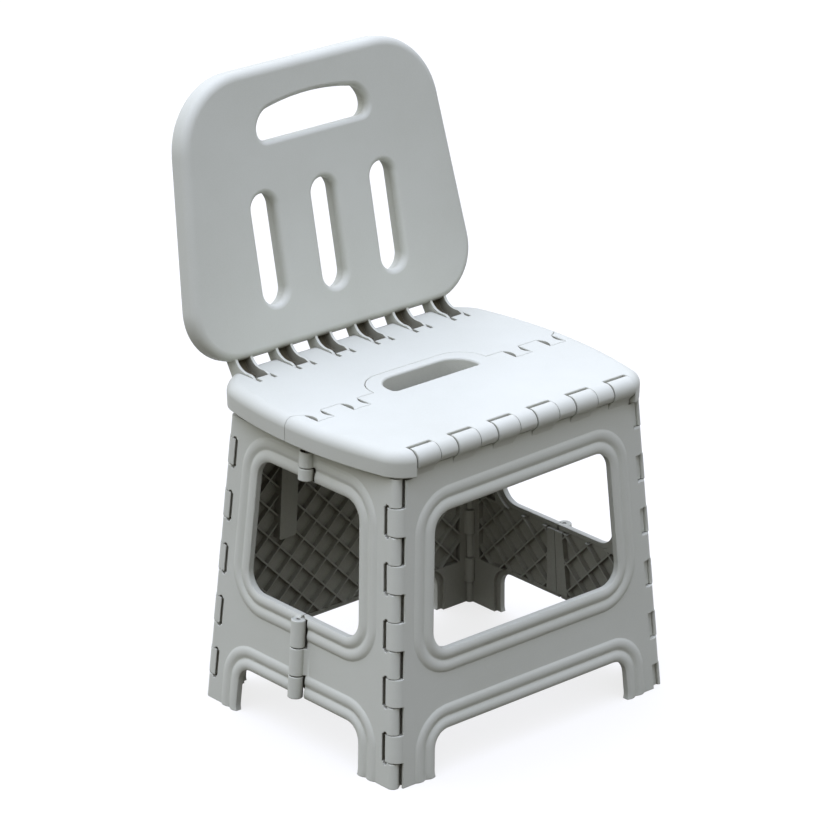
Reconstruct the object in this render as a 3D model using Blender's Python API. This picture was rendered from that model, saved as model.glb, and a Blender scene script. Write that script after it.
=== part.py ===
"""Folding step stool with a fold-down backrest, built from separate moulded panels and hinge pins.

Row frame: metres, +Z up, the sitter faces -Y, floor at z = 0.
Every leg and side panel is a plate that leans inwards, so its outline is drawn in a
sheared frame (across, depth, height) and then mapped to the row frame.
"""
import math

import bmesh
import bpy
from mathutils import Vector

# overall
BASE_Y = -0.0281          # middle plane of the four-panel frame
FOOT_HALF_X = 0.1500      # half width over the feet, outer faces
FOOT_HALF_Y = 0.1202      # half depth over the feet, outer faces
SPLAY_X = 0.0679          # inward lean of the side panels, metre per metre
SPLAY_Y = 0.0645          # inward lean of the leg panels, metre per metre
SEAT_TOP = 0.2800
GAP = 0.0004              # running gap between neighbouring pieces

# panels
PANEL_T = 0.0075          # depth of a ribbed panel
SKIN_T = 0.0026           # skin left behind the diamond pockets
FRAME_TOP = SEAT_TOP - 0.0265       # upper edge of the side panels' front halves
SIDE_REAR_TOP = SEAT_TOP - 0.0284   # upper edge of their rear halves, below the swing of the seat
FRONT_TOP = SEAT_TOP - 0.0250       # upper edge of the front leg plate
REAR_TOP = SEAT_TOP - 0.0325        # upper edge of the rear leg plate, below the swing of the seat
FRONT_POST = 0.0418       # from the outer face to the front window, at the floor
FRONT_WIN_HALF = FOOT_HALF_X - FRONT_POST
FRONT_WIN_LOW = 0.1050
FRONT_WIN_HIGH = SEAT_TOP - 0.0587
SIDE_POST = 0.0438        # the same for the side windows
SIDE_WIN_HALF = FOOT_HALF_Y - SIDE_POST
SIDE_WIN_LOW = 0.1105
SIDE_WIN_HIGH = SEAT_TOP - 0.0535
WIN_RADIUS = 0.0170
FRONT_FOOT = 0.0421       # width of a front foot
FRONT_ARCH_HALF = FOOT_HALF_X - FRONT_FOOT
FRONT_ARCH_TOP = 0.0378
SIDE_FOOT = 0.0432
SIDE_ARCH_HALF = FOOT_HALF_Y - SIDE_FOOT
SIDE_ARCH_TOP = 0.0410
ARCH_RADIUS = 0.0150
BEAD_W = 0.0098           # width of one raised bead
BEAD_STEP = 0.0102        # distance between neighbouring beads
BEAD_IN_H = 0.0022        # height of the inner bead
BEAD_OUT_H = 0.0016       # height of the outer bead
BEAD_SLOPE = 0.0024       # width of a bead's sloping flank
BEAD_EDGE = -0.0009       # inner bead starts just inside the opening and is trimmed with it
DIAMOND_A = 0.0180        # half diagonal of a diamond cell across the panel
DIAMOND_B = 0.0180        # half diagonal of a diamond cell up the panel
RIB_T = 0.0019            # rib between two diamond pockets
BRACE_X = 0.0660          # middle of the upright bar on the rear leg's inner face
BRACE_W = 0.0180
BRACE_LOW = 0.1250
BRACE_HIGH = 0.2200
BRACE_H = 0.0030

# corner hinges
CORNER_IN = 0.0080        # distance of a corner axis from both outer faces
CORNER_R = 0.0079         # corner knuckle radius
CORNER_CLEAR = 0.0091     # corner radius of the octagon cut away for the neighbour's knuckle
KNUCKLE_TOP = SEAT_TOP - 0.0475     # upper end of the highest leg knuckle
KNUCKLE_LOW = 0.0210      # lower end of the lowest leg knuckle
KNUCKLE_COUNT = 10
KNUCKLE_PITCH = (KNUCKLE_TOP - KNUCKLE_LOW) / (KNUCKLE_COUNT - 1)
PIN_R = 0.0018
BORE_R = 0.0022

# middle hinges of the side panels, the pivots that stay open
SIDE_AXIS_OUT = 0.0040    # axis distance outside the side panel's outer face
SIDE_BARREL_R = 0.0063
SIDE_WEB_H = 0.0020       # foot of a barrel above the panel
SIDE_PLAY_R = 0.0050      # bore of the loose knuckle
SIDE_TIGHT_R = 0.0019     # bore of the knuckle that carries the pin
SIDE_PIN_R = 0.0015
SIDE_RELIEF_R = 0.0084    # radius cut from the opposite panel half
SIDE_LOW = (0.0405, 0.0602, 0.0848, 0.1090)
SIDE_HIGH = (SEAT_TOP - 0.0525, SEAT_TOP - 0.0415, SEAT_TOP - 0.0275)
SEAM = 0.0006

# seat
SEAT_MID_Y = BASE_Y + 0.0020
SEAT_HALF_D = FOOT_HALF_Y - 0.0007
SEAT_INSET = 0.0177       # from the feet's outer faces to the seat's corners
SEAT_HALF_W = FOOT_HALF_X - SEAT_INSET
SEAT_BULGE = 0.0170       # outward bow of the side edges
SEAT_CORNER = 0.0330      # plan radius of the front corners
SEAT_CORNER_REAR = 0.0300
SEAT_RIM = 0.0215
SEAT_ROUND = 0.0036
SEAT_SKIN = 0.0035
SEAT_WALL = 0.0103        # from the seat's corners to the pockets underneath
AXIS_DROP = 0.0085        # front and rear hinge axes below the seat top
CENTRE_DROP = 0.0250      # centre hinge axis below the seat top
REAR_AXIS_IN = 0.0212     # hinge axes inside the feet's outer faces
FRONT_AXIS_IN = 0.0172
REAR_AXIS_Y = BASE_Y + FOOT_HALF_Y - REAR_AXIS_IN
FRONT_AXIS_Y = BASE_Y - FOOT_HALF_Y + FRONT_AXIS_IN
CENTRE_Y = 0.5 * (REAR_AXIS_Y + FRONT_AXIS_Y)
HINGE_COUNT = 6
HINGE_ROW_IN = 0.04425    # from the feet's outer faces to the middle of the last knuckle
HINGE_HALF = FOOT_HALF_X - HINGE_ROW_IN
HINGE_PITCH = 2.0 * HINGE_HALF / (HINGE_COUNT - 1)
LEG_KNUCKLE_W = 0.0226
FRONT_SWING_R = 0.0174    # radius the front leg leaves free for the seat's front edge
FRONT_SLOT = 0.0099       # rear wall of the slots behind the front knuckles, from the axis
KNUCKLE_FRONT = 0.0150    # front face of a leg knuckle, from the axis
KNUCKLE_NOSE_R = 0.0115
SEAT_FRONT = 0.0145       # front face of the seat, from the axis
SEAT_NOSE_R = 0.0105
GRIP_HALF = 0.0465
GRIP_FRONT = -0.0045      # front edge of the grip hole, measured from SEAT_MID_Y
GRIP_REAR = 0.0230
GRIP_RADIUS = 0.0200
RING_HALF = 0.0610        # half width of the grip tab at the seam
RING_REAR = 0.0365
RING_RADIUS = 0.0270
TAB_OUT = 0.0087          # reach of the tabs past the centre axis
TAB_END = 0.0150          # the same where the seam leaves the seat's edge
TABS = (SEAT_HALF_W - 0.0535, SEAT_HALF_W - 0.0355, SEAT_HALF_W - 0.0150, SEAT_HALF_W + 0.0022)
CENTRE_R = 0.0050
CENTRE_RELIEF = 0.0055
CENTRE_PIN_IN = TABS[0] + 0.0015
LUG_END = SEAT_HALF_W - 0.0088      # outer end of the last centre lug, inside the side panels
CENTRE_PIN_OUT = LUG_END - 0.0010
FRONT_PIN_HALF = HINGE_HALF + 0.01275
REAR_PIN_HALF = HINGE_HALF + 0.01075
PIN_END = 0.0010          # bores run this far past the pins
CORNER_PIN_LOW = 0.0040
CORNER_PIN_HIGH = SEAT_TOP - 0.0300
SIDE_PIN_INSET = 0.0010

# backrest
LEAN = math.radians(12.0)
BACK_T = 0.0180
BACK_MID_Y = BASE_Y + FOOT_HALF_Y + 0.0009   # its middle plane where it crosses the seat top
BACK_LOW = 0.0050         # lower edge, measured up the backrest from the seat top
BACK_HIGH = 0.2370
BACK_SPREAD = 0.0045      # how far the backrest's sharp lower corners pass the feet
BACK_TAPER = 0.0230
BACK_HALF_LOW = FOOT_HALF_X + BACK_SPREAD
BACK_HALF_HIGH = BACK_HALF_LOW - BACK_TAPER
BACK_R_LOW = 0.0450
BACK_R_HIGH = 0.0560
BACK_ROUND = 0.0060
SLOT_PITCH = 0.0638
SLOT_HALF = 0.0126
SLOT_LOW = 0.0425
SLOT_HIGH = 0.1350
HANDLE_HALF = 0.0590
HANDLE_LOW = 0.1762
HANDLE_END = 0.1940       # height where the handle's ends meet its arched top
HANDLE_HIGH = 0.2072
HANDLE_R = 0.0085
HOLE_FLARE = 0.0055       # widening of the slots and the handle towards the front face
ARM_W = 0.0180
CHEEK_T = 0.0025
ARM_HUB_R = 0.0100
ARM_SLOT_R = 0.0104
STRAP_W = 0.0120
STRAP_HUB_R = 0.0065

POLYPROPYLENE = (0.62, 0.63, 0.61)
PIN_GREY = (0.55, 0.56, 0.55)


def start_clean():
    """Remove whatever the default scene holds."""
    for ob in list(bpy.data.objects):
        bpy.data.objects.remove(ob, do_unlink=True)


def material(name, colour, rough):
    """One Principled plastic for one node."""
    mat = bpy.data.materials.new(name)
    mat.use_nodes = True
    bsdf = mat.node_tree.nodes["Principled BSDF"]
    bsdf.inputs["Base Color"].default_value = (*colour, 1.0)
    bsdf.inputs["Roughness"].default_value = rough
    bsdf.inputs["Metallic"].default_value = 0.0
    return mat


def obj_from(name, chunks):
    """One mesh object out of (vertices, faces) chunks, normals facing out."""
    verts = []
    faces = []
    for vs, fs in chunks:
        base = len(verts)
        verts.extend(vs)
        faces.extend(tuple(i + base for i in f) for f in fs)
    mesh = bpy.data.meshes.new(name)
    mesh.from_pydata([tuple(v) for v in verts], [], faces)
    bm = bmesh.new()
    bm.from_mesh(mesh)
    bmesh.ops.recalc_face_normals(bm, faces=bm.faces)
    bm.to_mesh(mesh)
    bm.free()
    ob = bpy.data.objects.new(name, mesh)
    bpy.context.scene.collection.objects.link(ob)
    return ob


def combine(ob, chunks, operation):
    """Apply one boolean between an object and a set of closed chunks that don't overlap each other.

    The leaning panels carry long, nearly coplanar faces, where the MANIFOLD solver keeps the mesh closed.
    """
    tool = obj_from(ob.name + "_tool", chunks)
    mod = ob.modifiers.new("step", "BOOLEAN")
    mod.operation = operation
    mod.solver = "MANIFOLD"
    mod.object = tool
    graph = bpy.context.evaluated_depsgraph_get()
    result = bpy.data.meshes.new_from_object(ob.evaluated_get(graph))
    ob.modifiers.clear()
    old = ob.data
    ob.data = result
    bpy.data.meshes.remove(old)
    mesh = tool.data
    bpy.data.objects.remove(tool, do_unlink=True)
    bpy.data.meshes.remove(mesh)
    return ob


def cut(ob, chunks):
    """Take the chunks away from the object."""
    return combine(ob, chunks, "DIFFERENCE")


def add(ob, chunks):
    """Grow the chunks onto the object."""
    return combine(ob, chunks, "UNION")


def is_closed(bm):
    """True where every edge joins exactly two faces."""
    return all(len(e.link_faces) == 2 for e in bm.edges)


def simplify(ob):
    """Drop flat splits where the mesh stays closed, and triangulate."""
    for weld, flat in ((0.00001, True), (0.0, True), (0.0, False)):
        bm = bmesh.new()
        bm.from_mesh(ob.data)
        if weld > 0.0:
            bmesh.ops.remove_doubles(bm, verts=bm.verts, dist=weld)
        if flat:
            bmesh.ops.dissolve_limit(bm, angle_limit=0.0009, verts=bm.verts, edges=bm.edges)
        bmesh.ops.triangulate(bm, faces=bm.faces)
        closed = is_closed(bm)
        if closed:
            bm.to_mesh(ob.data)
        bm.free()
        if closed:
            return


def finish(ob, origin, mat):
    """Put the object's origin on its joint axis, simplify its mesh and give it its material."""
    simplify(ob)
    for v in ob.data.vertices:
        v.co -= Vector(origin)
    ob.location = origin
    ob.data.shade_smooth()
    ob.data.set_sharp_from_angle(angle=math.radians(28.0))
    ob.data.materials.clear()
    ob.data.materials.append(mat)
    return ob


def prism(poly, low, high, place):
    """Closed prism over a polygon (p, q), from r = low to r = high, mapped by place(p, q, r)."""
    n = len(poly)
    verts = [place(p, q, low) for p, q in poly] + [place(p, q, high) for p, q in poly]
    faces = [tuple(range(n - 1, -1, -1)), tuple(range(n, 2 * n))]
    for i in range(n):
        j = (i + 1) % n
        faces.append((i, j, n + j, n + i))
    return verts, faces


def box(lo, hi):
    """Axis-aligned closed box."""
    poly = [(lo[0], lo[1]), (hi[0], lo[1]), (hi[0], hi[1]), (lo[0], hi[1])]
    return prism(poly, lo[2], hi[2], lambda p, q, r: (p, q, r))


def cylinder(p0, p1, radius, sides=14):
    """Closed round bar between two points, end faces square to its axis."""
    a = Vector(p0)
    b = Vector(p1)
    w = (b - a).normalized()
    u = w.cross(Vector((0.0, 1.0, 0.0)) if abs(w.y) < 0.9 else Vector((1.0, 0.0, 0.0))).normalized()
    v = w.cross(u)
    ring = []
    for i in range(sides):
        t = 2.0 * math.pi * (i + 0.5) / sides
        ring.append(u * (radius * math.cos(t)) + v * (radius * math.sin(t)))
    verts = [tuple(a + r) for r in ring] + [tuple(b + r) for r in ring]
    faces = [tuple(range(sides - 1, -1, -1)), tuple(range(sides, 2 * sides))]
    for i in range(sides):
        j = (i + 1) % sides
        faces.append((i, j, sides + j, sides + i))
    return verts, faces


def x_bar(y, z, x0, x1, radius, sides=14):
    """Round bar along X."""
    return cylinder((x0, y, z), (x1, y, z), radius, sides)


def rounded(corners, radii, steps):
    """Polygon with each corner replaced by an arc of its own radius (0 keeps the corner)."""
    out = []
    n = len(corners)
    for i in range(n):
        p = Vector(corners[i])
        a = (Vector(corners[i - 1]) - p).normalized()
        b = (Vector(corners[(i + 1) % n]) - p).normalized()
        r = radii[i]
        if r <= 0.0:
            out.append((p.x, p.y))
            continue
        half = 0.5 * math.acos(max(-1.0, min(1.0, a.dot(b))))
        reach = r / math.tan(half)
        centre = p + (a + b).normalized() * (r / math.sin(half))
        s = p + a * reach - centre
        e = p + b * reach - centre
        turn = math.atan2(s.x * e.y - s.y * e.x, s.dot(e))
        for k in range(steps + 1):
            t = turn * k / steps
            c, q = math.cos(t), math.sin(t)
            out.append((centre.x + s.x * c - s.y * q, centre.y + s.x * q + s.y * c))
    return out


def window_outline(half, splay, low, high, radius, grow):
    """Rounded trapezoid whose sides lean with the panel, grown outwards by a distance."""
    zl = low - grow
    zh = high + grow
    w = half + grow
    r = radius + grow
    pts = [(-(w - splay * zl), zl), (w - splay * zl, zl), (w - splay * zh, zh), (-(w - splay * zh), zh)]
    return rounded(pts, [r] * 4, 3)


def arch_outline(half, splay, top, radius, grow):
    """Foot arch: open below the floor, round upper corners, grown outwards by a distance."""
    zl = -0.01 - grow
    zh = top + grow
    w = half + grow
    pts = [(-(w - splay * zl), zl), (w - splay * zl, zl), (w - splay * zh, zh), (-(w - splay * zh), zh)]
    return rounded(pts, [0.0, 0.0, radius + grow, radius + grow], 3)


def bead(outline, start, height, place):
    """Raised bead along an outline: four loops of equal length, sunk a little into the panel."""
    loops = [(outline(start + BEAD_W), 0.0008), (outline(start + BEAD_W - BEAD_SLOPE), -height),
             (outline(start + BEAD_SLOPE), -height), (outline(start), 0.0008)]
    n = len(loops[0][0])
    verts = []
    for loop, depth in loops:
        verts.extend(place(p, q, depth) for p, q in loop)
    faces = []
    for k in range(4):
        m = (k + 1) % 4
        for i in range(n):
            j = (i + 1) % n
            faces.append((k * n + i, k * n + j, m * n + j, m * n + i))
    return verts, faces


def clip(poly, band):
    """Part of a convex polygon inside a convex band (both lists of points, band counter-clockwise)."""
    out = list(poly)
    for i in range(len(band)):
        ax, ay = band[i]
        bx, by = band[(i + 1) % len(band)]
        side = [(bx - ax) * (q - ay) - (by - ay) * (p - ax) for p, q in out]
        nxt = []
        for k in range(len(out)):
            m = (k + 1) % len(out)
            if side[k] >= 0.0:
                nxt.append(out[k])
            if side[k] * side[m] < 0.0:
                t = side[k] / (side[k] - side[m])
                nxt.append((out[k][0] + t * (out[m][0] - out[k][0]), out[k][1] + t * (out[m][1] - out[k][1])))
        out = nxt
        if len(out) < 3:
            return []
    return out


def area(poly):
    """Signed area of a polygon."""
    n = len(poly)
    return 0.5 * sum(poly[i][0] * poly[(i + 1) % n][1] - poly[(i + 1) % n][0] * poly[i][1] for i in range(n))


def diamond_pockets(bands, half_a, half_b, rib, low, high, place):
    """Diamond lattice: pockets between crossing diagonal ribs, clipped to each convex band."""
    shrink = 0.5 * rib * math.hypot(half_a, half_b) / (half_a * half_b)
    ka = half_a * (1.0 - shrink)
    kb = half_b * (1.0 - shrink)
    chunks = []
    for band in bands:
        reach = max(abs(p) for p, q in band)
        top = max(q for p, q in band)
        na = int(reach / half_a) + 2
        nb = int(top / half_b) + 2
        for i in range(-na, na + 1):
            for j in range(-1, nb + 1):
                if (i + j) % 2:
                    continue
                ca, cb = i * half_a, j * half_b
                cell = [(ca + ka, cb), (ca, cb + kb), (ca - ka, cb), (ca, cb - kb)]
                part = clip(cell, band)
                if len(part) >= 3 and area(part) > 0.12 * half_a * half_b:
                    chunks.append(prism(part, low, high, place))
    return chunks


def leg_place(sign):
    """Frame of the front (-1) or rear (+1) leg: across X, depth inwards, height."""
    def place(p, q, r):
        return (p, BASE_Y + sign * (FOOT_HALF_Y - SPLAY_Y * q - r), q)
    return place


def side_place(sign):
    """Frame of the left (-1) or right (+1) side: along Y from the middle plane, depth inwards, height."""
    def place(p, q, r):
        return (sign * (FOOT_HALF_X - SPLAY_X * q - r), BASE_Y + p, q)
    return place


def corner_point(sx, sy, z):
    """Point of a corner hinge axis at height z."""
    x = FOOT_HALF_X - CORNER_IN - SPLAY_X * z
    y = FOOT_HALF_Y - CORNER_IN - SPLAY_Y * z
    return (sx * x, BASE_Y + sy * y, z)


def knuckle_spans():
    """Height spans of the corner knuckles: first those of the leg, then those of the side."""
    z = [KNUCKLE_TOP - KNUCKLE_PITCH * k for k in range(KNUCKLE_COUNT)]
    legs = [(z[k + 1], z[k]) for k in range(0, KNUCKLE_COUNT - 1, 2)]
    sides = [(z[0], FRAME_TOP + 0.004)] + [(z[k + 1], z[k]) for k in range(1, KNUCKLE_COUNT - 1, 2)]
    sides.append((-0.006, z[-1]))
    return legs, sides


def corner_bars(sx, sy, spans, radius, trim, sides):
    """Round bars on a corner axis over height spans, shortened (or lengthened) at both ends by trim."""
    ends = [(corner_point(sx, sy, a + trim), corner_point(sx, sy, b - trim)) for a, b in spans]
    return [cylinder(low, high, radius, sides) for low, high in ends]


def level_cut(ob, top=None):
    """Trim a panel flat at the floor and, if given, at its top."""
    chunks = [box((-0.5, -0.5, -0.05), (0.5, 0.5, 0.0))]
    if top is not None:
        chunks.append(box((-0.5, -0.5, top), (0.5, 0.5, 0.5)))
    return cut(ob, chunks)


def band_quad(outer, inner, splay, low, high, sign):
    """Convex band between two leaning edges on one side of a panel, counter-clockwise."""
    pts = [(inner - splay * low, low), (outer - splay * low, low),
           (outer - splay * high, high), (inner - splay * high, high)]
    if sign < 0:
        pts = [(-p, q) for p, q in reversed(pts)]
    return pts


def wide_band(half, splay, low, high):
    """Convex band across the whole panel, counter-clockwise."""
    a = half - splay * low
    b = half - splay * high
    return [(-a, low), (a, low), (b, high), (-b, high)]


def hinge_centres():
    """X of the six knuckles or arms along the front and rear edges."""
    return [(i - 0.5 * (HINGE_COUNT - 1)) * HINGE_PITCH for i in range(HINGE_COUNT)]


def leg_panel(name, sign, top, window):
    """Leg plate with foot arch, optional window, beads, diamond pockets and its corner knuckles."""
    place = leg_place(sign)
    edge = FOOT_HALF_X - CORNER_IN
    plate = [(-edge, 0.0), (edge, 0.0), (edge - SPLAY_X * top, top), (-(edge - SPLAY_X * top), top)]
    ob = obj_from(name, [prism(plate, 0.0, PANEL_T, place)])

    def win(grow):
        return window_outline(FRONT_WIN_HALF, SPLAY_X, FRONT_WIN_LOW, FRONT_WIN_HIGH, WIN_RADIUS, grow)

    def arch(grow):
        return arch_outline(FRONT_ARCH_HALF, SPLAY_X, FRONT_ARCH_TOP, ARCH_RADIUS, grow)

    inner = edge - 0.011
    bands = []
    if window:
        bands.append(wide_band(inner, SPLAY_X, FRONT_ARCH_TOP + 0.004, FRONT_WIN_LOW - 0.004))
        for s in (1, -1):
            bands.append(band_quad(inner, FRONT_WIN_HALF + 0.004, SPLAY_X, FRONT_WIN_LOW - 0.002,
                                   FRONT_WIN_HIGH + 0.002, s))
    else:
        bands.append(wide_band(inner, SPLAY_X, FRONT_ARCH_TOP + 0.004, top - 0.009))
    beads = [bead(arch, BEAD_EDGE, BEAD_IN_H, place), bead(arch, BEAD_STEP, BEAD_OUT_H, place)]
    if window:
        beads += [bead(win, BEAD_EDGE, BEAD_IN_H, place), bead(win, BEAD_STEP, BEAD_OUT_H, place)]
    add(ob, beads)
    cut(ob, diamond_pockets(bands, DIAMOND_A, DIAMOND_B, RIB_T, SKIN_T, PANEL_T + 0.002, place))
    holes = [prism(arch(0.0), -0.01, 0.02, place)]
    if window:
        holes.append(prism(win(0.0), -0.01, 0.02, place))
    cut(ob, holes)
    legs, sides = knuckle_spans()
    own = []
    other = []
    bores = []
    for sx in (-1, 1):
        own += corner_bars(sx, sign, legs, CORNER_R, 0.5 * GAP, 10)
        other += corner_bars(sx, sign, sides, CORNER_CLEAR, -0.5 * GAP, 8)
        bores.append(cylinder(corner_point(sx, sign, -0.02), corner_point(sx, sign, 0.30), BORE_R, 8))
    add(ob, own)
    cut(ob, other)
    cut(ob, bores)
    return level_cut(ob)


def nose(front, radius, steps):
    """Quarter round from a front face up to the seat top, measured from the front hinge axis."""
    pts = []
    for k in range(steps + 1):
        t = math.radians(180.0 - 90.0 * k / steps)
        pts.append((-front + radius + radius * math.cos(t), AXIS_DROP - radius + radius * math.sin(t)))
    return pts


def front_leg():
    """Front leg: windowed panel whose straps wrap over the seat's front edge as hinge knuckles."""
    ob = leg_panel("front_leg", -1, FRONT_TOP, True)
    az = SEAT_TOP - AXIS_DROP

    def profile(y, z):
        return FRONT_AXIS_Y + y, az + z

    face = BASE_Y - FOOT_HALF_Y + SPLAY_Y * FRONT_TOP - FRONT_AXIS_Y
    low = FRONT_TOP - az - 0.004
    shape = [(face - 0.0005, low), (face - 0.0100, -0.0108), (-0.0140, -0.0085), (-KNUCKLE_FRONT, -0.0055)]
    shape += nose(KNUCKLE_FRONT, KNUCKLE_NOSE_R, 4)
    shape += [(0.0015, AXIS_DROP), (0.0052, 0.0073), (0.0080, 0.0046), (0.0093, 0.0008)]
    shape += [(face + PANEL_T, -0.0060), (face + PANEL_T, low)]
    poly = [profile(y, z) for y, z in shape]
    straps = []
    for x in hinge_centres():
        w = 0.5 * LEG_KNUCKLE_W
        straps.append(prism(poly, x - w, x + w, lambda p, q, r: (r, p, q)))
    swing = []
    edges = [-0.1500] + hinge_centres() + [0.1500]
    for k in range(len(edges) - 1):
        w = 0.5 * LEG_KNUCKLE_W
        x0 = edges[k] + (w if k > 0 else 0.0)
        x1 = edges[k + 1] - (w if k < len(edges) - 2 else 0.0)
        swing.append(x_bar(FRONT_AXIS_Y, az, x0, x1, FRONT_SWING_R, 24))
    cut(ob, swing)
    add(ob, straps)
    top = knuckle_spans()[1][:1]
    for s in (-1, 1):
        cut(ob, corner_bars(s, -1, top, CORNER_CLEAR, -0.5 * GAP, 8))
    cut(ob, [x_bar(FRONT_AXIS_Y, az, -0.2, 0.2, BORE_R, 8)])
    return ob


def rear_leg():
    """Rear leg: full panel with upright bars inside and narrow straps that stand inside the arms."""
    ob = leg_panel("rear_leg", 1, REAR_TOP, False)
    place = leg_place(1)
    az = SEAT_TOP - AXIS_DROP
    bars = []
    for s in (-1, 1):
        poly = [(s * BRACE_X - 0.5 * BRACE_W, BRACE_LOW), (s * BRACE_X + 0.5 * BRACE_W, BRACE_LOW),
                (s * BRACE_X + 0.5 * BRACE_W, BRACE_HIGH), (s * BRACE_X - 0.5 * BRACE_W, BRACE_HIGH)]
        bars.append(prism(poly, SKIN_T - 0.0010, PANEL_T + BRACE_H, place))
    add(ob, bars)
    straps = []
    root = REAR_TOP - 0.005
    outer = BASE_Y + FOOT_HALF_Y - SPLAY_Y * root
    hub = []
    for k in range(9):
        t = math.radians(-25.0 + 230.0 * k / 8.0)
        hub.append((REAR_AXIS_Y + STRAP_HUB_R * math.cos(t), az + STRAP_HUB_R * math.sin(t)))
    poly = [(outer - PANEL_T, root), (outer - 0.0004, root)] + hub + [(outer - PANEL_T, FRAME_TOP + 0.001)]
    for x in hinge_centres():
        straps.append(prism(poly, x - 0.5 * STRAP_W, x + 0.5 * STRAP_W, lambda p, q, r: (r, p, q)))
    add(ob, straps)
    cut(ob, [x_bar(REAR_AXIS_Y, az, -0.2, 0.2, BORE_R, 8)])
    return ob


def side_axis(sign, z):
    """Point of a side panel's middle hinge axis at height z."""
    return (sign * (FOOT_HALF_X - SPLAY_X * z + SIDE_AXIS_OUT), BASE_Y, z)


def side_half(name, sign, front):
    """Half of a side panel, split on the middle plane, with its corner and middle knuckles."""
    place = side_place(sign)
    edge = FOOT_HALF_Y - CORNER_IN
    plate = wide_band(edge, SPLAY_Y, 0.0, FRAME_TOP)
    ob = obj_from(name, [prism(plate, 0.0, PANEL_T, place)])

    def win(grow):
        return window_outline(SIDE_WIN_HALF, SPLAY_Y, SIDE_WIN_LOW, SIDE_WIN_HIGH, WIN_RADIUS, grow)

    def arch(grow):
        return arch_outline(SIDE_ARCH_HALF, SPLAY_Y, SIDE_ARCH_TOP, ARCH_RADIUS, grow)

    inner = edge - 0.011
    s = -1 if front else 1
    bands = [band_quad(inner, SIDE_WIN_HALF + 0.004, SPLAY_Y, SIDE_WIN_LOW - 0.002, SIDE_WIN_HIGH + 0.002, s),
             band_quad(inner, 0.0130 + SPLAY_Y * SIDE_ARCH_TOP, SPLAY_Y, SIDE_ARCH_TOP + 0.004,
                       SIDE_WIN_LOW - 0.004, s)]
    add(ob, [bead(win, BEAD_EDGE, BEAD_IN_H, place), bead(win, BEAD_STEP, BEAD_OUT_H, place),
             bead(arch, BEAD_EDGE, BEAD_IN_H, place), bead(arch, BEAD_STEP, BEAD_OUT_H, place)])
    cut(ob, diamond_pockets(bands, DIAMOND_A, DIAMOND_B, RIB_T, SKIN_T, PANEL_T + 0.002, place))
    cut(ob, [prism(win(0.0), -0.01, 0.02, place), prism(arch(0.0), -0.01, 0.02, place)])
    if front:
        cut(ob, [box((-0.5, BASE_Y - 0.5 * SEAM, -0.5), (0.5, 0.5, 0.5))])
    else:
        cut(ob, [box((-0.5, -0.5, -0.5), (0.5, BASE_Y + 0.5 * SEAM, 0.5))])
    legs, sides = knuckle_spans()
    add(ob, corner_bars(sign, s, sides, CORNER_R, 0.5 * GAP, 10))
    cut(ob, corner_bars(sign, s, legs, CORNER_CLEAR, -0.5 * GAP, 8))
    cut(ob, [cylinder(corner_point(sign, s, -0.02), corner_point(sign, s, 0.30), BORE_R, 8)])
    lows = [(SIDE_LOW[0], SIDE_LOW[1]), (SIDE_LOW[1], SIDE_LOW[2]), (SIDE_LOW[2], SIDE_LOW[3])]
    highs = [(SIDE_HIGH[0], SIDE_HIGH[1]), (SIDE_HIGH[1], SIDE_HIGH[2])]
    rear_own = [lows[0], lows[2], highs[0]]
    front_own = [lows[1], highs[1]]
    mine = front_own if front else rear_own
    theirs = rear_own if front else front_own
    ends = [(side_axis(sign, a - GAP), side_axis(sign, b + GAP)) for a, b in theirs]
    cut(ob, [cylinder(low, high, SIDE_RELIEF_R, 12) for low, high in ends])
    bars = []
    for a, b in mine:
        bars.append(cylinder(side_axis(sign, a + GAP), side_axis(sign, b - GAP), SIDE_BARREL_R, 14))
    webs = []
    for a, b in mine:
        lo = a + 2.0 * GAP
        hi = b - 2.0 * GAP
        q0 = 0.0020
        q1 = 0.0105
        poly = [(s * q0, lo), (s * q1, lo), (s * q1, hi), (s * q0, hi)]
        webs.append(prism(poly, -SIDE_WEB_H, 0.0015, place))
    add(ob, bars)
    add(ob, webs)
    bore = SIDE_PLAY_R if front else SIDE_TIGHT_R
    cut(ob, [cylinder(side_axis(sign, 0.0), side_axis(sign, 0.14), bore, 8),
             cylinder(side_axis(sign, 0.2), side_axis(sign, 0.28), bore, 8)])
    return level_cut(ob, FRAME_TOP if front else SIDE_REAR_TOP)


def seat_outline(inset):
    """Seat plan: straight front and rear, bowed sides, round corners, drawn inset from the edge."""
    pts = []
    half_w = SEAT_HALF_W - inset
    half_d = SEAT_HALF_D - inset
    for sx, sy, start in ((1, -1, -90.0), (1, 1, 0.0), (-1, 1, 90.0), (-1, -1, 180.0)):
        rho = (SEAT_CORNER if sy < 0 else SEAT_CORNER_REAR) - inset
        arc = []
        for k in range(7):
            t = math.radians(start + 15.0 * k)
            x = sx * (half_w - rho) + rho * math.cos(t)
            y = sy * (half_d - rho) + rho * math.sin(t)
            arc.append((x, y))
        pts += arc
        if sx == 1 and sy == -1:
            y0 = arc[-1][1]
            y1 = half_d - SEAT_CORNER_REAR + inset
            for k in range(1, 8):
                pts.append((half_w, y0 + (y1 - y0) * k / 8.0))
        if sx == -1 and sy == 1:
            y0 = arc[-1][1]
            y1 = -half_d + SEAT_CORNER - inset
            for k in range(1, 8):
                pts.append((-half_w, y0 + (y1 - y0) * k / 8.0))
    out = []
    for x, y in pts:
        rho = (SEAT_CORNER if y < 0.0 else SEAT_CORNER_REAR) - inset
        share = max(0.0, (abs(x) - (half_w - rho)) / rho)
        bow = SEAT_BULGE * (1.0 - (y / half_d) ** 2) * share
        out.append((x + math.copysign(bow, x), SEAT_MID_Y + y))
    return out


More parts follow.
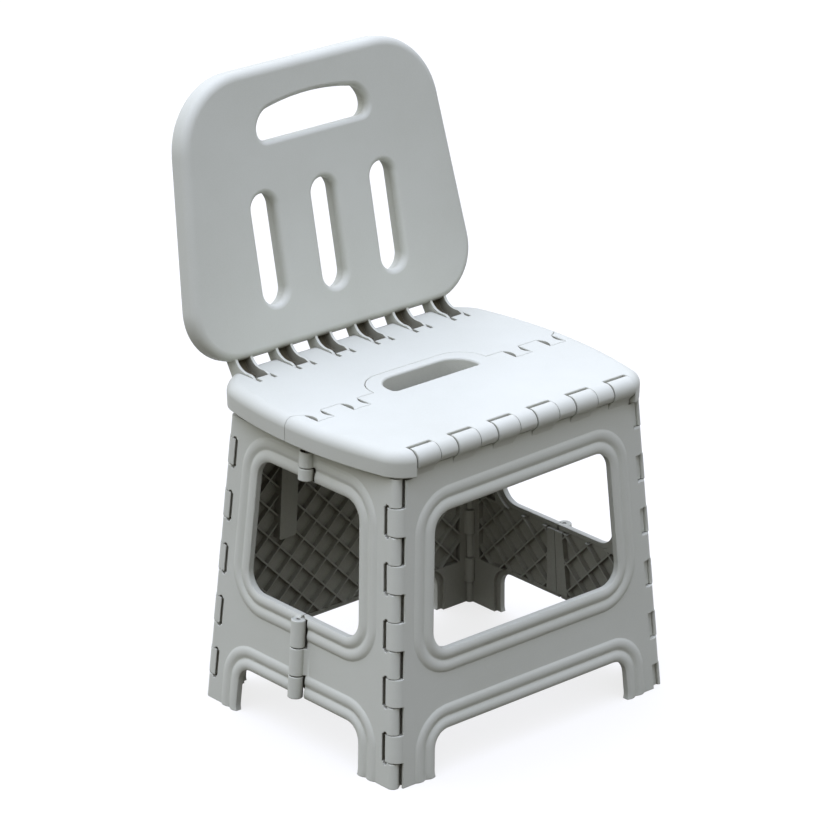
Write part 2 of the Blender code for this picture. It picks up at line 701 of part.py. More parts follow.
def seat_blank(name):
    """Whole seat as stacked outlines with a rounded upper edge."""
    low = SEAT_TOP - SEAT_RIM
    r = SEAT_ROUND
    levels = [(low, 0.0), (SEAT_TOP - r, 0.0), (SEAT_TOP - 0.5 * r, 0.13 * r),
              (SEAT_TOP - 0.13 * r, 0.5 * r), (SEAT_TOP, r)]
    rings = [[(x, y, z) for x, y in seat_outline(inset)] for z, inset in levels]
    n = len(rings[0])
    verts = [v for ring in rings for v in ring]
    last = (len(rings) - 1) * n
    faces = [tuple(range(n - 1, -1, -1)), tuple(range(last, last + n))]
    for k in range(len(rings) - 1):
        for i in range(n):
            j = (i + 1) % n
            faces.append((k * n + i, k * n + j, (k + 1) * n + j, (k + 1) * n + i))
    return obj_from(name, [(verts, faces)])


def seam_line(offset):
    """Seam between the seat halves from -X to +X, moved towards the rear by offset.

    The front half sends out tabs and the big grip tab, the rear half sends out tabs between them.
    """
    t0, t1, t2, t3 = TABS
    out = TAB_OUT
    right = [(RING_HALF, out), (t0, out), (t0, -out), (t1, -out), (t1, out), (t2, out), (t2, -out), (t3, -out),
             (t3, out), (t3 + 0.0070, out), (t3 + 0.0120, TAB_END), (FOOT_HALF_X + 0.05, TAB_END)]
    ring = rounded([(-RING_HALF, 0.0), (-RING_HALF, RING_REAR), (RING_HALF, RING_REAR), (RING_HALF, 0.0)],
                   [0.0, RING_RADIUS, RING_RADIUS, 0.0], 5)
    line = [(-x, y) for x, y in reversed(right)]
    line += ring[1:-1]
    line += right
    moved = []
    n = len(line)
    for i in range(n):
        p = Vector(line[i])
        a = (p - Vector(line[i - 1])).normalized() if i > 0 else Vector((1.0, 0.0))
        b = (Vector(line[i + 1]) - p).normalized() if i < n - 1 else Vector((1.0, 0.0))
        na = Vector((-a.y, a.x))
        nb = Vector((-b.y, b.x))
        m = na + nb
        m = m / max(0.3, m.dot(na))
        moved.append((p.x + m.x * offset, CENTRE_Y + p.y + m.y * offset))
    return moved


def centre_knuckles(spans):
    """Hinge lugs under the seat on the centre axis, hanging from their own tabs."""
    z = SEAT_TOP - CENTRE_DROP
    poly = [(CENTRE_Y - CENTRE_R, SEAT_TOP - SEAT_RIM + 0.004), (CENTRE_Y - CENTRE_R, z)]
    for k in range(1, 8):
        t = math.radians(180.0 + 22.5 * k)
        poly.append((CENTRE_Y + CENTRE_R * math.cos(t), z + CENTRE_R * math.sin(t)))
    poly += [(CENTRE_Y + CENTRE_R, z), (CENTRE_Y + CENTRE_R, SEAT_TOP - SEAT_RIM + 0.004)]
    chunks = []
    for a, b in spans:
        for lo, hi in ((a + GAP, b - GAP), (-b + GAP, -a - GAP)):
            chunks.append(prism(poly, lo, hi, lambda p, q, r: (r, p, q)))
    return chunks


def seat_pockets(bands):
    """Square cells under the seat, opened from below."""
    low = SEAT_TOP - SEAT_RIM - 0.004
    high = SEAT_TOP - SEAT_SKIN
    chunks = []
    for x0, x1, y0, y1, nx, ny in bands:
        wx = (x1 - x0) / nx
        wy = (y1 - y0) / ny
        for i in range(nx):
            for j in range(ny):
                a = (x0 + i * wx + 0.5 * RIB_T, y0 + j * wy + 0.5 * RIB_T)
                b = (x0 + (i + 1) * wx - 0.5 * RIB_T, y0 + (j + 1) * wy - 0.5 * RIB_T)
                chunks.append(box((a[0], a[1], low), (b[0], b[1], high)))
    return chunks


def seat_front():
    """Front seat half: carries the grip hole, front hinge knuckles and half of the centre lugs."""
    ob = seat_blank("seat_front")
    line = seam_line(-0.5 * GAP)
    far = [(0.20, SEAT_MID_Y + 0.2), (-0.20, SEAT_MID_Y + 0.2)]
    cut(ob, [prism(line + far, 0.1, 0.4, lambda p, q, r: (p, q, r))])
    y0 = SEAT_MID_Y + GRIP_FRONT
    y1 = SEAT_MID_Y + GRIP_REAR
    grip = rounded([(-GRIP_HALF, y0), (GRIP_HALF, y0), (GRIP_HALF, y1), (-GRIP_HALF, y1)],
                   [0.004, 0.004, GRIP_RADIUS, GRIP_RADIUS], 5)
    cut(ob, [prism(grip, 0.2, 0.4, lambda p, q, r: (p, q, r))])
    az = SEAT_TOP - AXIS_DROP
    slots = []
    w = 0.5 * LEG_KNUCKLE_W + GAP
    for x in hinge_centres():
        wall = FRONT_AXIS_Y + FRONT_SLOT
        slots.append(box((x - w, FRONT_AXIS_Y - 0.06, az - 0.04), (x + w, wall, az + 0.04)))
    cut(ob, slots)
    edge = [(-0.03, -0.0015), (-SEAT_FRONT - 0.0003, -0.0015)] + nose(SEAT_FRONT, SEAT_NOSE_R, 4)[1:]
    edge += [(-SEAT_FRONT + SEAT_NOSE_R, 0.02), (-0.03, 0.02)]
    cut(ob, [prism([(FRONT_AXIS_Y + y, az + z) for y, z in edge], -0.2, 0.2, lambda p, q, r: (r, p, q))])
    under = [(FRONT_AXIS_Y - 0.03, az - 0.0085 + 0.0006), (FRONT_AXIS_Y - 0.0145, az - 0.0085),
             (FRONT_AXIS_Y + 0.004, az - 0.0132), (FRONT_AXIS_Y + 0.004, az - 0.03),
             (FRONT_AXIS_Y - 0.03, az - 0.03)]
    cut(ob, [prism(under, -0.2, 0.2, lambda p, q, r: (r, p, q))])
    t0, t1, t2, t3 = TABS
    y_f = FRONT_AXIS_Y + 0.013
    y_c = CENTRE_Y - TAB_OUT - 0.003
    mid_y = SEAT_MID_Y + GRIP_FRONT - 0.004
    wide = SEAT_HALF_W - SEAT_WALL - 0.0020
    cut(ob, seat_pockets([(-wide, -0.052, y_f, y_c, 2, 2), (0.052, wide, y_f, y_c, 2, 2),
                          (-0.050, 0.050, y_f, mid_y, 3, 2)]))
    add(ob, centre_knuckles([(t1, t2)]))
    z = SEAT_TOP - CENTRE_DROP
    relief = []
    for a, b in ((t0, t1), (t2, t3)):
        relief.append(x_bar(CENTRE_Y, z, a - GAP, b + GAP, CENTRE_RELIEF, 16))
        relief.append(x_bar(CENTRE_Y, z, -b - GAP, -a + GAP, CENTRE_RELIEF, 16))
    cut(ob, relief)
    reach = FRONT_PIN_HALF + PIN_END
    cut(ob, [x_bar(FRONT_AXIS_Y, az, -reach, reach, BORE_R, 8)])
    cut(ob, [x_bar(CENTRE_Y, z, -FOOT_HALF_X, FOOT_HALF_X, BORE_R, 8)])
    return ob


def seat_rear():
    """Rear seat half: notched for the grip tab and for the six backrest arms."""
    ob = seat_blank("seat_rear")
    line = seam_line(0.5 * GAP)
    near = [(0.20, SEAT_MID_Y - 0.2), (-0.20, SEAT_MID_Y - 0.2)]
    cut(ob, [prism(line + near, 0.1, 0.4, lambda p, q, r: (p, q, r))])
    az = SEAT_TOP - AXIS_DROP
    slots = []
    w = 0.5 * ARM_W + GAP
    for x in hinge_centres():
        poly = [(REAR_AXIS_Y + 0.06, az + 0.04), (REAR_AXIS_Y, az + 0.04)]
        for k in range(6):
            t = math.radians(90.0 + 18.0 * k)
            poly.append((REAR_AXIS_Y + ARM_SLOT_R * math.cos(t), az + ARM_SLOT_R * math.sin(t)))
        poly += [(REAR_AXIS_Y - ARM_SLOT_R, az - 0.04), (REAR_AXIS_Y + 0.06, az - 0.04)]
        slots.append(prism(poly, x - w, x + w, lambda p, q, r: (r, p, q)))
    cut(ob, slots)
    under = [(REAR_AXIS_Y + 0.001, az - 0.0132), (REAR_AXIS_Y + 0.0150, az - 0.0024),
             (REAR_AXIS_Y + 0.04, az - 0.0024), (REAR_AXIS_Y + 0.04, az - 0.03),
             (REAR_AXIS_Y + 0.001, az - 0.03)]
    cut(ob, [prism(under, -0.2, 0.2, lambda p, q, r: (r, p, q))])
    t0, t1, t2 = TABS[:3]
    y_c = CENTRE_Y + TAB_OUT + 0.003
    y_r = REAR_AXIS_Y - 0.0135
    wide = SEAT_HALF_W - SEAT_WALL
    cell = RING_HALF + 0.0040
    mid = RING_HALF + 0.0010
    cut(ob, seat_pockets([(-wide, -cell, y_c, y_r, 2, 2), (cell, wide, y_c, y_r, 2, 2),
                          (-mid, mid, CENTRE_Y + RING_REAR + 0.003, y_r, 4, 1)]))
    add(ob, centre_knuckles([(t0, t1), (t2, LUG_END)]))
    z = SEAT_TOP - CENTRE_DROP
    relief = [x_bar(CENTRE_Y, z, t1 - GAP, t2 + GAP, CENTRE_RELIEF, 16),
              x_bar(CENTRE_Y, z, -t2 - GAP, -t1 + GAP, CENTRE_RELIEF, 16)]
    cut(ob, relief)
    reach = REAR_PIN_HALF + PIN_END
    cut(ob, [x_bar(REAR_AXIS_Y, az, -reach, reach, BORE_R, 8)])
    cut(ob, [x_bar(CENTRE_Y, z, -FOOT_HALF_X, FOOT_HALF_X, BORE_R, 8)])
    return ob


def back_place(p, q, r):
    """Backrest frame: across X, up the leaning plate, depth from its middle plane towards the rear."""
    y = BACK_MID_Y + q * math.sin(LEAN) + r * math.cos(LEAN)
    z = SEAT_TOP + q * math.cos(LEAN) - r * math.sin(LEAN)
    return (p, y, z)


def back_outline(inset):
    """Backrest plate outline: rounded trapezoid, wider at the bottom."""
    k = (BACK_HALF_LOW - BACK_HALF_HIGH) / (BACK_HIGH - BACK_LOW)
    lo = BACK_LOW + inset
    hi = BACK_HIGH - inset
    wl = BACK_HALF_LOW - inset - k * inset
    wh = BACK_HALF_HIGH - inset + k * inset
    return rounded([(-wl, lo), (wl, lo), (wh, hi), (-wh, hi)],
                   [BACK_R_LOW - inset, BACK_R_LOW - inset, BACK_R_HIGH - inset, BACK_R_HIGH - inset], 7)


def back_holes(grow):
    """Three upright slots and the arched handle, grown outwards by a distance."""
    holes = []
    for k in (-1, 0, 1):
        x = k * SLOT_PITCH
        w = SLOT_HALF + grow
        holes.append(rounded([(x - w, SLOT_LOW - grow), (x + w, SLOT_LOW - grow), (x + w, SLOT_HIGH + grow),
                              (x - w, SLOT_HIGH + grow)], [w - 0.0002] * 4, 4))
    w = HANDLE_HALF + grow
    rise = HANDLE_HIGH - HANDLE_END
    pts = [(-w, HANDLE_LOW - grow), (w, HANDLE_LOW - grow), (w, HANDLE_END + grow)]
    radii = [HANDLE_R + grow, HANDLE_R + grow, 0.8 * HANDLE_R + grow]
    for k in (0.5, 0.0, -0.5):
        pts.append((k * w, HANDLE_END + grow + rise * (1.0 - k * k)))
        radii.append(0.0)
    pts.append((-w, HANDLE_END + grow))
    radii.append(0.8 * HANDLE_R + grow)
    holes.append(rounded(pts, radii, 4))
    return holes


def backrest():
    """Backrest shell with slots, handle and six channel arms that reach down to the rear hinge."""
    t = 0.5 * BACK_T
    r = BACK_ROUND
    levels = [(-t, r), (-t + 0.13 * r, 0.5 * r), (-t + 0.5 * r, 0.13 * r), (-t + r, 0.0),
              (t - 0.4 * r, 0.0), (t, 0.4 * r)]
    rings = [[back_place(p, q, d) for p, q in back_outline(inset)] for d, inset in levels]
    n = len(rings[0])
    verts = [v for ring in rings for v in ring]
    last = (len(rings) - 1) * n
    faces = [tuple(range(n - 1, -1, -1)), tuple(range(last, last + n))]
    for k in range(len(rings) - 1):
        for i in range(n):
            j = (i + 1) % n
            faces.append((k * n + i, k * n + j, (k + 1) * n + j, (k + 1) * n + i))
    ob = obj_from("backrest", [(verts, faces)])
    flare = []
    for small, large in zip(back_holes(0.0), back_holes(HOLE_FLARE)):
        m = len(small)
        vs = [back_place(p, q, -t - 0.0002) for p, q in large]
        vs += [back_place(p, q, -t + HOLE_FLARE) for p, q in small]
        vs += [back_place(p, q, t + 0.002) for p, q in small]
        fs = [tuple(range(m - 1, -1, -1)), tuple(range(2 * m, 3 * m))]
        for k in range(2):
            for i in range(m):
                j = (i + 1) % m
                fs.append((k * m + i, k * m + j, (k + 1) * m + j, (k + 1) * m + i))
        flare.append((vs, fs))
    cut(ob, flare)
    cells = []
    wide = BACK_HALF_LOW - 0.0385
    rib = SLOT_HALF + 0.0054
    for x0, x1 in ((rib, SLOT_PITCH - rib), (SLOT_PITCH + rib, wide)):
        cells.append((x0, x1, SLOT_LOW - 0.0005, SLOT_HIGH + 0.0010))
        cells.append((-x1, -x0, SLOT_LOW - 0.0005, SLOT_HIGH + 0.0010))
    middle = 0.0350
    wide = BACK_HALF_HIGH - 0.0235
    for x0, x1 in ((-wide, -middle - 0.002), (-middle, middle), (middle + 0.002, wide)):
        cells.append((x0, x1, SLOT_HIGH + 0.0040, HANDLE_LOW - 0.0072))
    wide = BACK_HALF_HIGH - 0.0575
    for x0, x1 in ((-wide, -0.001), (0.001, wide)):
        cells.append((x0, x1, HANDLE_HIGH + 0.0063, BACK_HIGH - 0.0080))
    pockets = []
    for x0, x1, q0, q1 in cells:
        pockets.append(prism([(x0, q0), (x1, q0), (x1, q1), (x0, q1)], -t + 0.0032, t + 0.002, back_place))
    cut(ob, pockets)
    az = SEAT_TOP - AXIS_DROP
    circle = []
    for k in range(11):
        a = math.radians(20.0 + 318.0 * k / 10.0)
        circle.append((ARM_HUB_R * math.cos(a), ARM_HUB_R * math.sin(a)))
    back = [(0.0150, 0.0030), (0.0235, 0.0072), (0.0325, 0.0080), (0.0345, 0.0105), (0.0350, 0.0200)]
    front = [(0.0185, 0.0240), (0.0152, 0.0170), (0.0130, 0.0128), (0.0115, 0.0075)]
    cheek = [(REAR_AXIS_Y + y, az + z) for y, z in circle + back + front]
    web = [(0.0100, 0.0060), (0.0225, 0.0072), (0.0325, 0.0080), (0.0345, 0.0105), (0.0350, 0.0200),
           (0.0320, 0.0205), (0.0310, 0.0125), (0.0295, 0.0105), (0.0225, 0.0092), (0.0105, 0.0080)]
    web = [(REAR_AXIS_Y + y, az + z) for y, z in web]
    arms = []
    webs = []
    for x in hinge_centres():
        h = 0.5 * ARM_W
        for x0 in (x - h, x + h - CHEEK_T):
            arms.append(prism(cheek, x0, x0 + CHEEK_T, lambda p, q, r: (r, p, q)))
        webs.append(prism(web, x - h + 0.5 * CHEEK_T, x + h - 0.5 * CHEEK_T, lambda p, q, r: (r, p, q)))
    add(ob, arms)
    add(ob, webs)
    cut(ob, [x_bar(REAR_AXIS_Y, az, -0.2, 0.2, BORE_R, 8)])
    return ob


def pin(name, p0, p1, radius):
    """Plain hinge pin with its origin at its lower or left end."""
    return obj_from(name, [cylinder(p0, p1, radius, 8)]), p0


def pins():
    """All hinge pins, each a node of its own, with their origins."""
    az = SEAT_TOP - AXIS_DROP
    cz = SEAT_TOP - CENTRE_DROP
    made = []
    for tag, half, y in (("front", FRONT_PIN_HALF, FRONT_AXIS_Y), ("rear", REAR_PIN_HALF, REAR_AXIS_Y)):
        made.append(pin(tag + "_hinge_pin", (-half, y, az), (half, y, az), PIN_R))
    for tag, s in (("left", -1), ("right", 1)):
        a = (s * CENTRE_PIN_IN, CENTRE_Y, cz)
        b = (s * CENTRE_PIN_OUT, CENTRE_Y, cz)
        made.append(pin("centre_pin_" + tag, a, b, PIN_R))
        for end, f in (("front", -1), ("rear", 1)):
            a = corner_point(s, f, CORNER_PIN_LOW)
            b = corner_point(s, f, CORNER_PIN_HIGH)
            made.append(pin("corner_pin_" + tag + "_" + end, a, b, PIN_R))
        for level, spans in (("low", SIDE_LOW), ("high", SIDE_HIGH)):
            a = side_axis(s, spans[0] + SIDE_PIN_INSET)
            b = side_axis(s, spans[-1] - SIDE_PIN_INSET)
            made.append(pin("side_pin_" + tag + "_" + level, a, b, SIDE_PIN_R))
    return made


def build():
    """Make every node, put its origin on its joint axis and give it its own material."""
    start_clean()
    az = SEAT_TOP - AXIS_DROP
    rear_axis = (0.0, REAR_AXIS_Y, az)
    front_axis = (0.0, FRONT_AXIS_Y, az)
    centre_axis = (0.0, CENTRE_Y, SEAT_TOP - CENTRE_DROP)
    panels = [(front_leg(), front_axis), (rear_leg(), rear_axis), (seat_front(), centre_axis),
              (seat_rear(), rear_axis), (backrest(), rear_axis)]
    for tag, s in (("left", -1), ("right", 1)):
        panels.append((side_half("side_" + tag + "_front", s, True), corner_point(s, -1, 0.0)))
        panels.append((side_half("side_" + tag + "_rear", s, False), corner_point(s, 1, 0.0)))
    for ob, origin in panels:
        finish(ob, origin, material(ob.name, POLYPROPYLENE, 0.48))
    for ob, origin in pins():
        finish(ob, origin, material(ob.name, PIN_GREY, 0.42))


build()
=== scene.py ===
"""Folding step stool with a fold-down backrest, dressed as the moulded plastic original.

Row frame: metres, +Z up, the sitter faces -Y, floor at z = 0.
"""
import math

import bmesh
import bpy
import numpy as np
from mathutils import Matrix


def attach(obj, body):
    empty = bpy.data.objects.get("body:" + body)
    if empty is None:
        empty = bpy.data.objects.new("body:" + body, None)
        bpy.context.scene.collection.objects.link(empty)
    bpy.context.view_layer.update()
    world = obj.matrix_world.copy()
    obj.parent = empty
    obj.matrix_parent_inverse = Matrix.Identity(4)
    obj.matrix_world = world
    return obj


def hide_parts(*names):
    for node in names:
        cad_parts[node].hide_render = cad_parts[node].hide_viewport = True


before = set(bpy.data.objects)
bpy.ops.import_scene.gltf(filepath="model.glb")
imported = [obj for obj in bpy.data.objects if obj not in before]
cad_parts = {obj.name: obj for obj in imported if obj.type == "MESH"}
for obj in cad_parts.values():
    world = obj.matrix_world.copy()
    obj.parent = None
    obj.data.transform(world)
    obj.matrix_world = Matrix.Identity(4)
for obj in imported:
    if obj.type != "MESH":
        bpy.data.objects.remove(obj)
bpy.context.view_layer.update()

# camera
PICTURE = 828.0  # side of the picture in pixels
CAMERA_AZIMUTH = math.radians(-41.668)
CAMERA_ELEVATION = math.radians(22.014)
CAMERA_ROLL = 0.00385
CAMERA_ACROSS = -0.01548  # where the lens axis passes, across and up from the stool's middle
CAMERA_UP = 0.22854
CAMERA_AWAY = 3.61587
FOCAL_PIXELS = 4336.4
SENSOR = 36.0
MIDDLE_Y = -0.0261

# sizes shared with the frame
BASE_Y = -0.0281  # middle plane of the four-panel frame
FOOT_HALF_X = 0.15
FOOT_HALF_Y = 0.1202
SPLAY_X = 0.0679  # lean of the sides and of the legs, metre per metre
SPLAY_Y = 0.0645
SEAT_TOP = 0.28
GAP = 0.0004
FLOOR_CUT = -0.004  # panels start below the floor and are trimmed level
FAR = 0.5  # reach of a cutter that takes all on one side
WIDE = 0.2  # half length of a bar or cutter right across
PAST = 0.02  # how far a cutter runs past the face it opens
OVER = 0.002  # the same where another face is near

# panels
PANEL_T = 0.0075
SKIN_T = 0.0026
FRAME_TOP = SEAT_TOP - 0.0265
SIDE_REAR_TOP = SEAT_TOP - 0.0284
REAR_TOP = SEAT_TOP - 0.0325
FRONT_WINDOW = dict(half=FOOT_HALF_X - 0.0403, splay=SPLAY_X, low=0.105, high=SEAT_TOP - 0.058, radius=0.017,
                    shift=-0.0015, tilt=0.02)
SIDE_WINDOW = dict(half=FOOT_HALF_Y - 0.0438, splay=SPLAY_Y, low=0.1105, high=SEAT_TOP - 0.0535, radius=0.017)
FRONT_ARCH = dict(half=FOOT_HALF_X - 0.0421, splay=SPLAY_X, low=-0.01, high=0.0378, radius=0.015)
SIDE_ARCH = dict(half=FOOT_HALF_Y - 0.0432, splay=SPLAY_Y, low=-0.01, high=0.041, radius=0.015)
LIP_WIDE = 0.005  # edge of an opening: a lip this wide, thinned from behind
LIP_T = 0.0042
BEAD_START = -0.0012  # the bead's section runs from just inside the opening
BEAD_END = 0.0208
BEAD_SINK = 0.0012
BEAD_BASE = 0.00025  # it lies this far proud between its ridges, fading out before its end
BEAD_FADE = 0.002
BEAD_STOP = BEAD_END - 0.0004
BEAD_TUCK = 0.0003  # its end dips below the panel's face
INNER_RIDGE = (0.0043, 0.0055, 0.0019)  # crest from the opening's edge, half width, height
OUTER_RIDGE = (0.0152, 0.0052, 0.0014)
DIAMOND = 0.013  # half diagonal of a diamond cell
RIB_T = 0.0014
POCKET_SIDE = 0.011  # the pockets stay clear of the corners, the openings, the top and the seam
POCKET_RIM = 0.004
POCKET_LAP = 0.002
POCKET_TOP = 0.009
POCKET_MIDDLE = 0.013
BRACE = dict(x=0.0725, width=0.018, low=0.125, high=0.22, height=0.003, radius=0.002)

# corner hinges
CORNER_IN = 0.008
LEG_WRAP = 0.0041  # how far a leg knuckle runs on along the side's face
LEG_CORE = 0.0056  # its barrel round the pin
LEG_SET = 0.0001  # its face lies this far behind the panel's
LEG_LIP_T = 0.001  # thickness of its lip along the side
LEG_BREAK = 0.0004  # broken edge of that lip
LEG_JOIN = (0.003, 0.0031, -0.005)  # where it joins the panel: at its face, and behind
# left (-1) and right (1) side knuckles: radius, place along the leg and along the side
SIDE_BARREL = {-1: (0.005, -0.003, -0.0004), 1: (0.002, -0.006, -0.003)}
SIDE_CORE = 0.0036  # their barrel round the pin
CORE_PLAY = 0.0003
LEG_RELIEF = 0.009  # room in the leg for a side knuckle, and the slot before its face
LEG_LIP = 0.0018  # thickness of the lips that narrow the slots
LEG_BACK = -0.002  # the room is closed again behind this depth
LEG_SLOT = {-1: 0.0013, 1: 0.0038}  # wall of the slot in the leg's face, left and right
SIDE_LIP = 0.0011
SIDE_RELIEF = 0.0099  # room in the side for a leg knuckle: its pocket behind the lip, and its slot
SIDE_POCKET = 0.0092
SIDE_SLOT = 0.0076
SIDE_PLAY = 0.0005
PIN_DOT = 0.0023  # small round notch at the ends of a leg knuckle
DOT_DEEP = 0.0105
KNUCKLE_TOP = SEAT_TOP - 0.0475
KNUCKLE_LOW = 0.021
KNUCKLE_END = -0.006  # the lowest ones run below the floor and are trimmed
KNUCKLE_COUNT = 10
KNUCKLE_GAP = 0.0006
SIDE_TOP = SEAT_TOP - 0.0224  # top of the corner knuckles, just under the seat's rim
BORE_R = 0.0022
END_BREAK = 0.0005  # rounding of a knuckle's ends

# middle hinges of the sides
SIDE_AXIS_OUT = 0.004
SIDE_BARREL_R = 0.0063
HINGE_RELIEF = 0.0084
SIDE_PLAY_R = 0.005
SIDE_TIGHT_R = 0.0019
SIDE_LOW = (0.0405, 0.0602, 0.0848, 0.109)
SIDE_HIGH = (SEAT_TOP - 0.0525, SEAT_TOP - 0.0415, SEAT_TOP - 0.0275)
SIDE_BORES = ((0.0, 0.14), (0.2, SEAT_TOP))
SEAM = 0.0006
FOOT_START = 0.004  # foot of a barrel on its panel: from the axis plane, height, and depth sunk in
FOOT_END = 0.0115
FOOT_RISE = 0.0048
FOOT_SINK = 0.0012

# seat
SEAT_FRONT_Y = BASE_Y - 0.1112
SEAT_REAR_Y = BASE_Y + 0.1215
SEAT_MID_Y = 0.5 * (SEAT_FRONT_Y + SEAT_REAR_Y)
SEAT_HALF_D = 0.5 * (SEAT_REAR_Y - SEAT_FRONT_Y)
SEAT_HALF_W = FOOT_HALF_X - 0.0177
SEAT_BULGE = 0.017
SEAT_CORNER = 0.02
SEAT_CORNER_REAR = 0.03
SEAT_RIM = 0.0215
RIM_BREAK = ((0.001, 0.0), (0.0003, 0.0008))  # lower edge of the rim: draw-in and height
SEAT_ROUND = 0.0096
SEAT_SKIN = 0.0035
SEAT_WALL = 0.0103
CELL_FRONT = 0.013  # cells below: clear of the front axis, the rear axis, the tabs and the grip
CELL_REAR = 0.0135
CELL_TAB = 0.003
CELL_RIM = 0.004
CELL_GRIP = (0.05, 0.052)  # the rib at either end of the grip
EDGE_BREAK = 0.0009  # rounding along the seam, the grip and the slots
GRIP_EASE = 0.002
SLOT_EASE = 0.0007
AXIS_DROP = 0.0085
CENTRE_DROP = 0.025
AXIS_Z = SEAT_TOP - AXIS_DROP
CENTRE_Z = SEAT_TOP - CENTRE_DROP
REAR_AXIS_Y = BASE_Y + FOOT_HALF_Y - 0.0212
FRONT_AXIS_Y = BASE_Y - FOOT_HALF_Y + 0.0172
CENTRE_Y = 0.5 * (REAR_AXIS_Y + FRONT_AXIS_Y)
HINGE_HALF = FOOT_HALF_X - 0.04425
HINGE_X = np.linspace(-HINGE_HALF, HINGE_HALF, 6)
FRONT_BORE = 0.1195  # half lengths of the seat's blind bores
REAR_BORE = 0.1175
LEG_KNUCKLE_W = 0.0226
FRONT_SWING = 0.0092  # room in the leg below the seat's barrel edge
CORNER_SWING = 0.016  # and below the seat's front corners
FRONT_SLOT = 0.0068
STRAP_GAP = 0.001
STRAP_CLEAR = 0.0006  # between the back of a strap and its slot's wall
STRAP_R = 0.0086
STRAP_HEEL = 0.0035
STRAP_FLAT = 0.0012  # between a strap's nose and its heel
SEAT_BARREL = 0.0082
EDGE_BACK = 0.0088  # below the barrel edge the seat starts this far behind the axis
STRAP_TOP = AXIS_Z - 0.003  # the leg panel runs up to here before the room is cut
LEG_TOP = AXIS_Z - 0.0052  # and to here between the straps
STRAP_ROOT = -0.02  # a front strap's neck: off the panel's outer and inner face, from the axis
STRAP_NECK = [(-0.0004, STRAP_ROOT), (-0.0008, -0.014), (-0.002, -0.0102), (-0.0038, -0.008)]
STRAP_BEHIND = [(-0.003, -0.0045), (-0.0012, -0.009), (-0.0022, STRAP_ROOT)]
GRIP = dict(half=0.0465, front=BASE_Y - 0.0025, rear=BASE_Y + 0.025, radius=0.02, sharp=0.004)
RING_HALF = 0.061
RING_REAR = 0.0365
RING_RADIUS = 0.027
TAB_OUT = 0.0087
TAB_END = 0.015
TAB_RUN = 0.0125  # length of the curve from the last tab to the rim
TABS = SEAT_HALF_W + np.array([-0.0535, -0.0355, -0.015, 0.0022])
TAB_BITE = 0.0036  # depth of the hollow in a tab's flank
LUG_END = SEAT_HALF_W - 0.0088
CENTRE_R = 0.005
CENTRE_RELIEF = 0.0055
SLOT_CORNER = 0.0012
BITE_DEEP = 0.012
LIFT = 0.00002  # keeps a lip's end clear of the face it leaves
CREASE = math.radians(32.0)

# backrest
LEAN = math.radians(12.0)
BACK_T = 0.018
BACK_MID_Y = BASE_Y + FOOT_HALF_Y + 0.0009
BACK_LOW = 0.005
BACK_HIGH = 0.237
BACK_HALF_LOW = FOOT_HALF_X + 0.0045
BACK_HALF_HIGH = BACK_HALF_LOW - 0.023
BACK_R_LOW = 0.045
BACK_R_HIGH = 0.064
BACK_ROUND = 0.0075
BACK_REAR_ROUND = 0.0024
BACK_SKIN = 0.0032  # plate left in front of the cells behind
CELL_ROUND = 0.0025
SLOT_PITCH = 0.0638
SLOT_HALF = 0.0126
SLOT_LOW = 0.0425
SLOT_HIGH = 0.135
SLOT_FLAT = 0.0002  # left straight at its round ends
HANDLE_HALF = 0.059
HANDLE_LOW = 0.1762
HANDLE_END = 0.1985
HANDLE_HIGH = 0.2068
HANDLE_R = 0.0085
HOLE_BACK = 0.007  # the walls of the slots and the handle end at this depth, in a step
HOLE_STEP = 0.003
HOLE_ROUND = 0.0045  # soft mouth of the slots and the handle
# cells behind, on the right: inner, outer, low and high edge; and the one in the middle
BACK_RIB = SLOT_HALF + 0.0054
BACK_CELLS = [(BACK_RIB, SLOT_PITCH - BACK_RIB, SLOT_LOW - 0.0005, SLOT_HIGH + 0.001),
              (SLOT_PITCH + BACK_RIB, BACK_HALF_LOW - 0.0385, SLOT_LOW - 0.0005, SLOT_HIGH + 0.001),
              (0.037, BACK_HALF_HIGH - 0.0235, SLOT_HIGH + 0.004, HANDLE_LOW - 0.0072),
              (0.001, BACK_HALF_HIGH - 0.0575, HANDLE_HIGH + 0.0063, BACK_HIGH - 0.008)]
BACK_MIDDLE = (-0.035, 0.035, SLOT_HIGH + 0.004, HANDLE_LOW - 0.0072)
ARM_W = 0.018
CHEEK_T = 0.0025
ARM_HUB_R = 0.01
STRAP_W = 0.012
STRAP_HUB_R = 0.0046
# an arm from the axis, to the rear and up: back and front of its cheeks, and the floor between them
ARM_BACK = [(0.01, -0.006), (0.0168, -0.0048), (0.0203, 0.0000), (0.0234, 0.0056), (0.0262, 0.01),
            (0.029, 0.0146), (0.0335, 0.0205)]
ARM_FRONT = [(0.0185, 0.024), (0.0174, 0.0186), (0.015, 0.0146), (0.0108, 0.0114), (0.005, 0.0098)]
ARM_FLOOR = [(0.01, 0.0014), (0.0193, 0.0022), (0.0226, 0.006), (0.0256, 0.0103), (0.0284, 0.0148), (0.033, 0.0205),
             (0.0308, 0.0204), (0.0264, 0.0156), (0.0236, 0.0114), (0.0208, 0.0074), (0.0184, 0.0044), (0.01, 0.0034)]
STRAP_BACK = 0.001  # rear face of a rear strap's neck, behind the axis
ARM_SLIT = 0.0146  # reach of the slits for the cheeks, forward of the axis
ARM_WELL = 0.0066  # reach of the slot between them
# what is cut away under the seat's rear edge, from the axis
SEAT_UNDER = np.array([(0.001, -0.0132), (0.015, -0.0024), (0.04, -0.0024), (0.04, -0.03), (0.001, -0.03)])

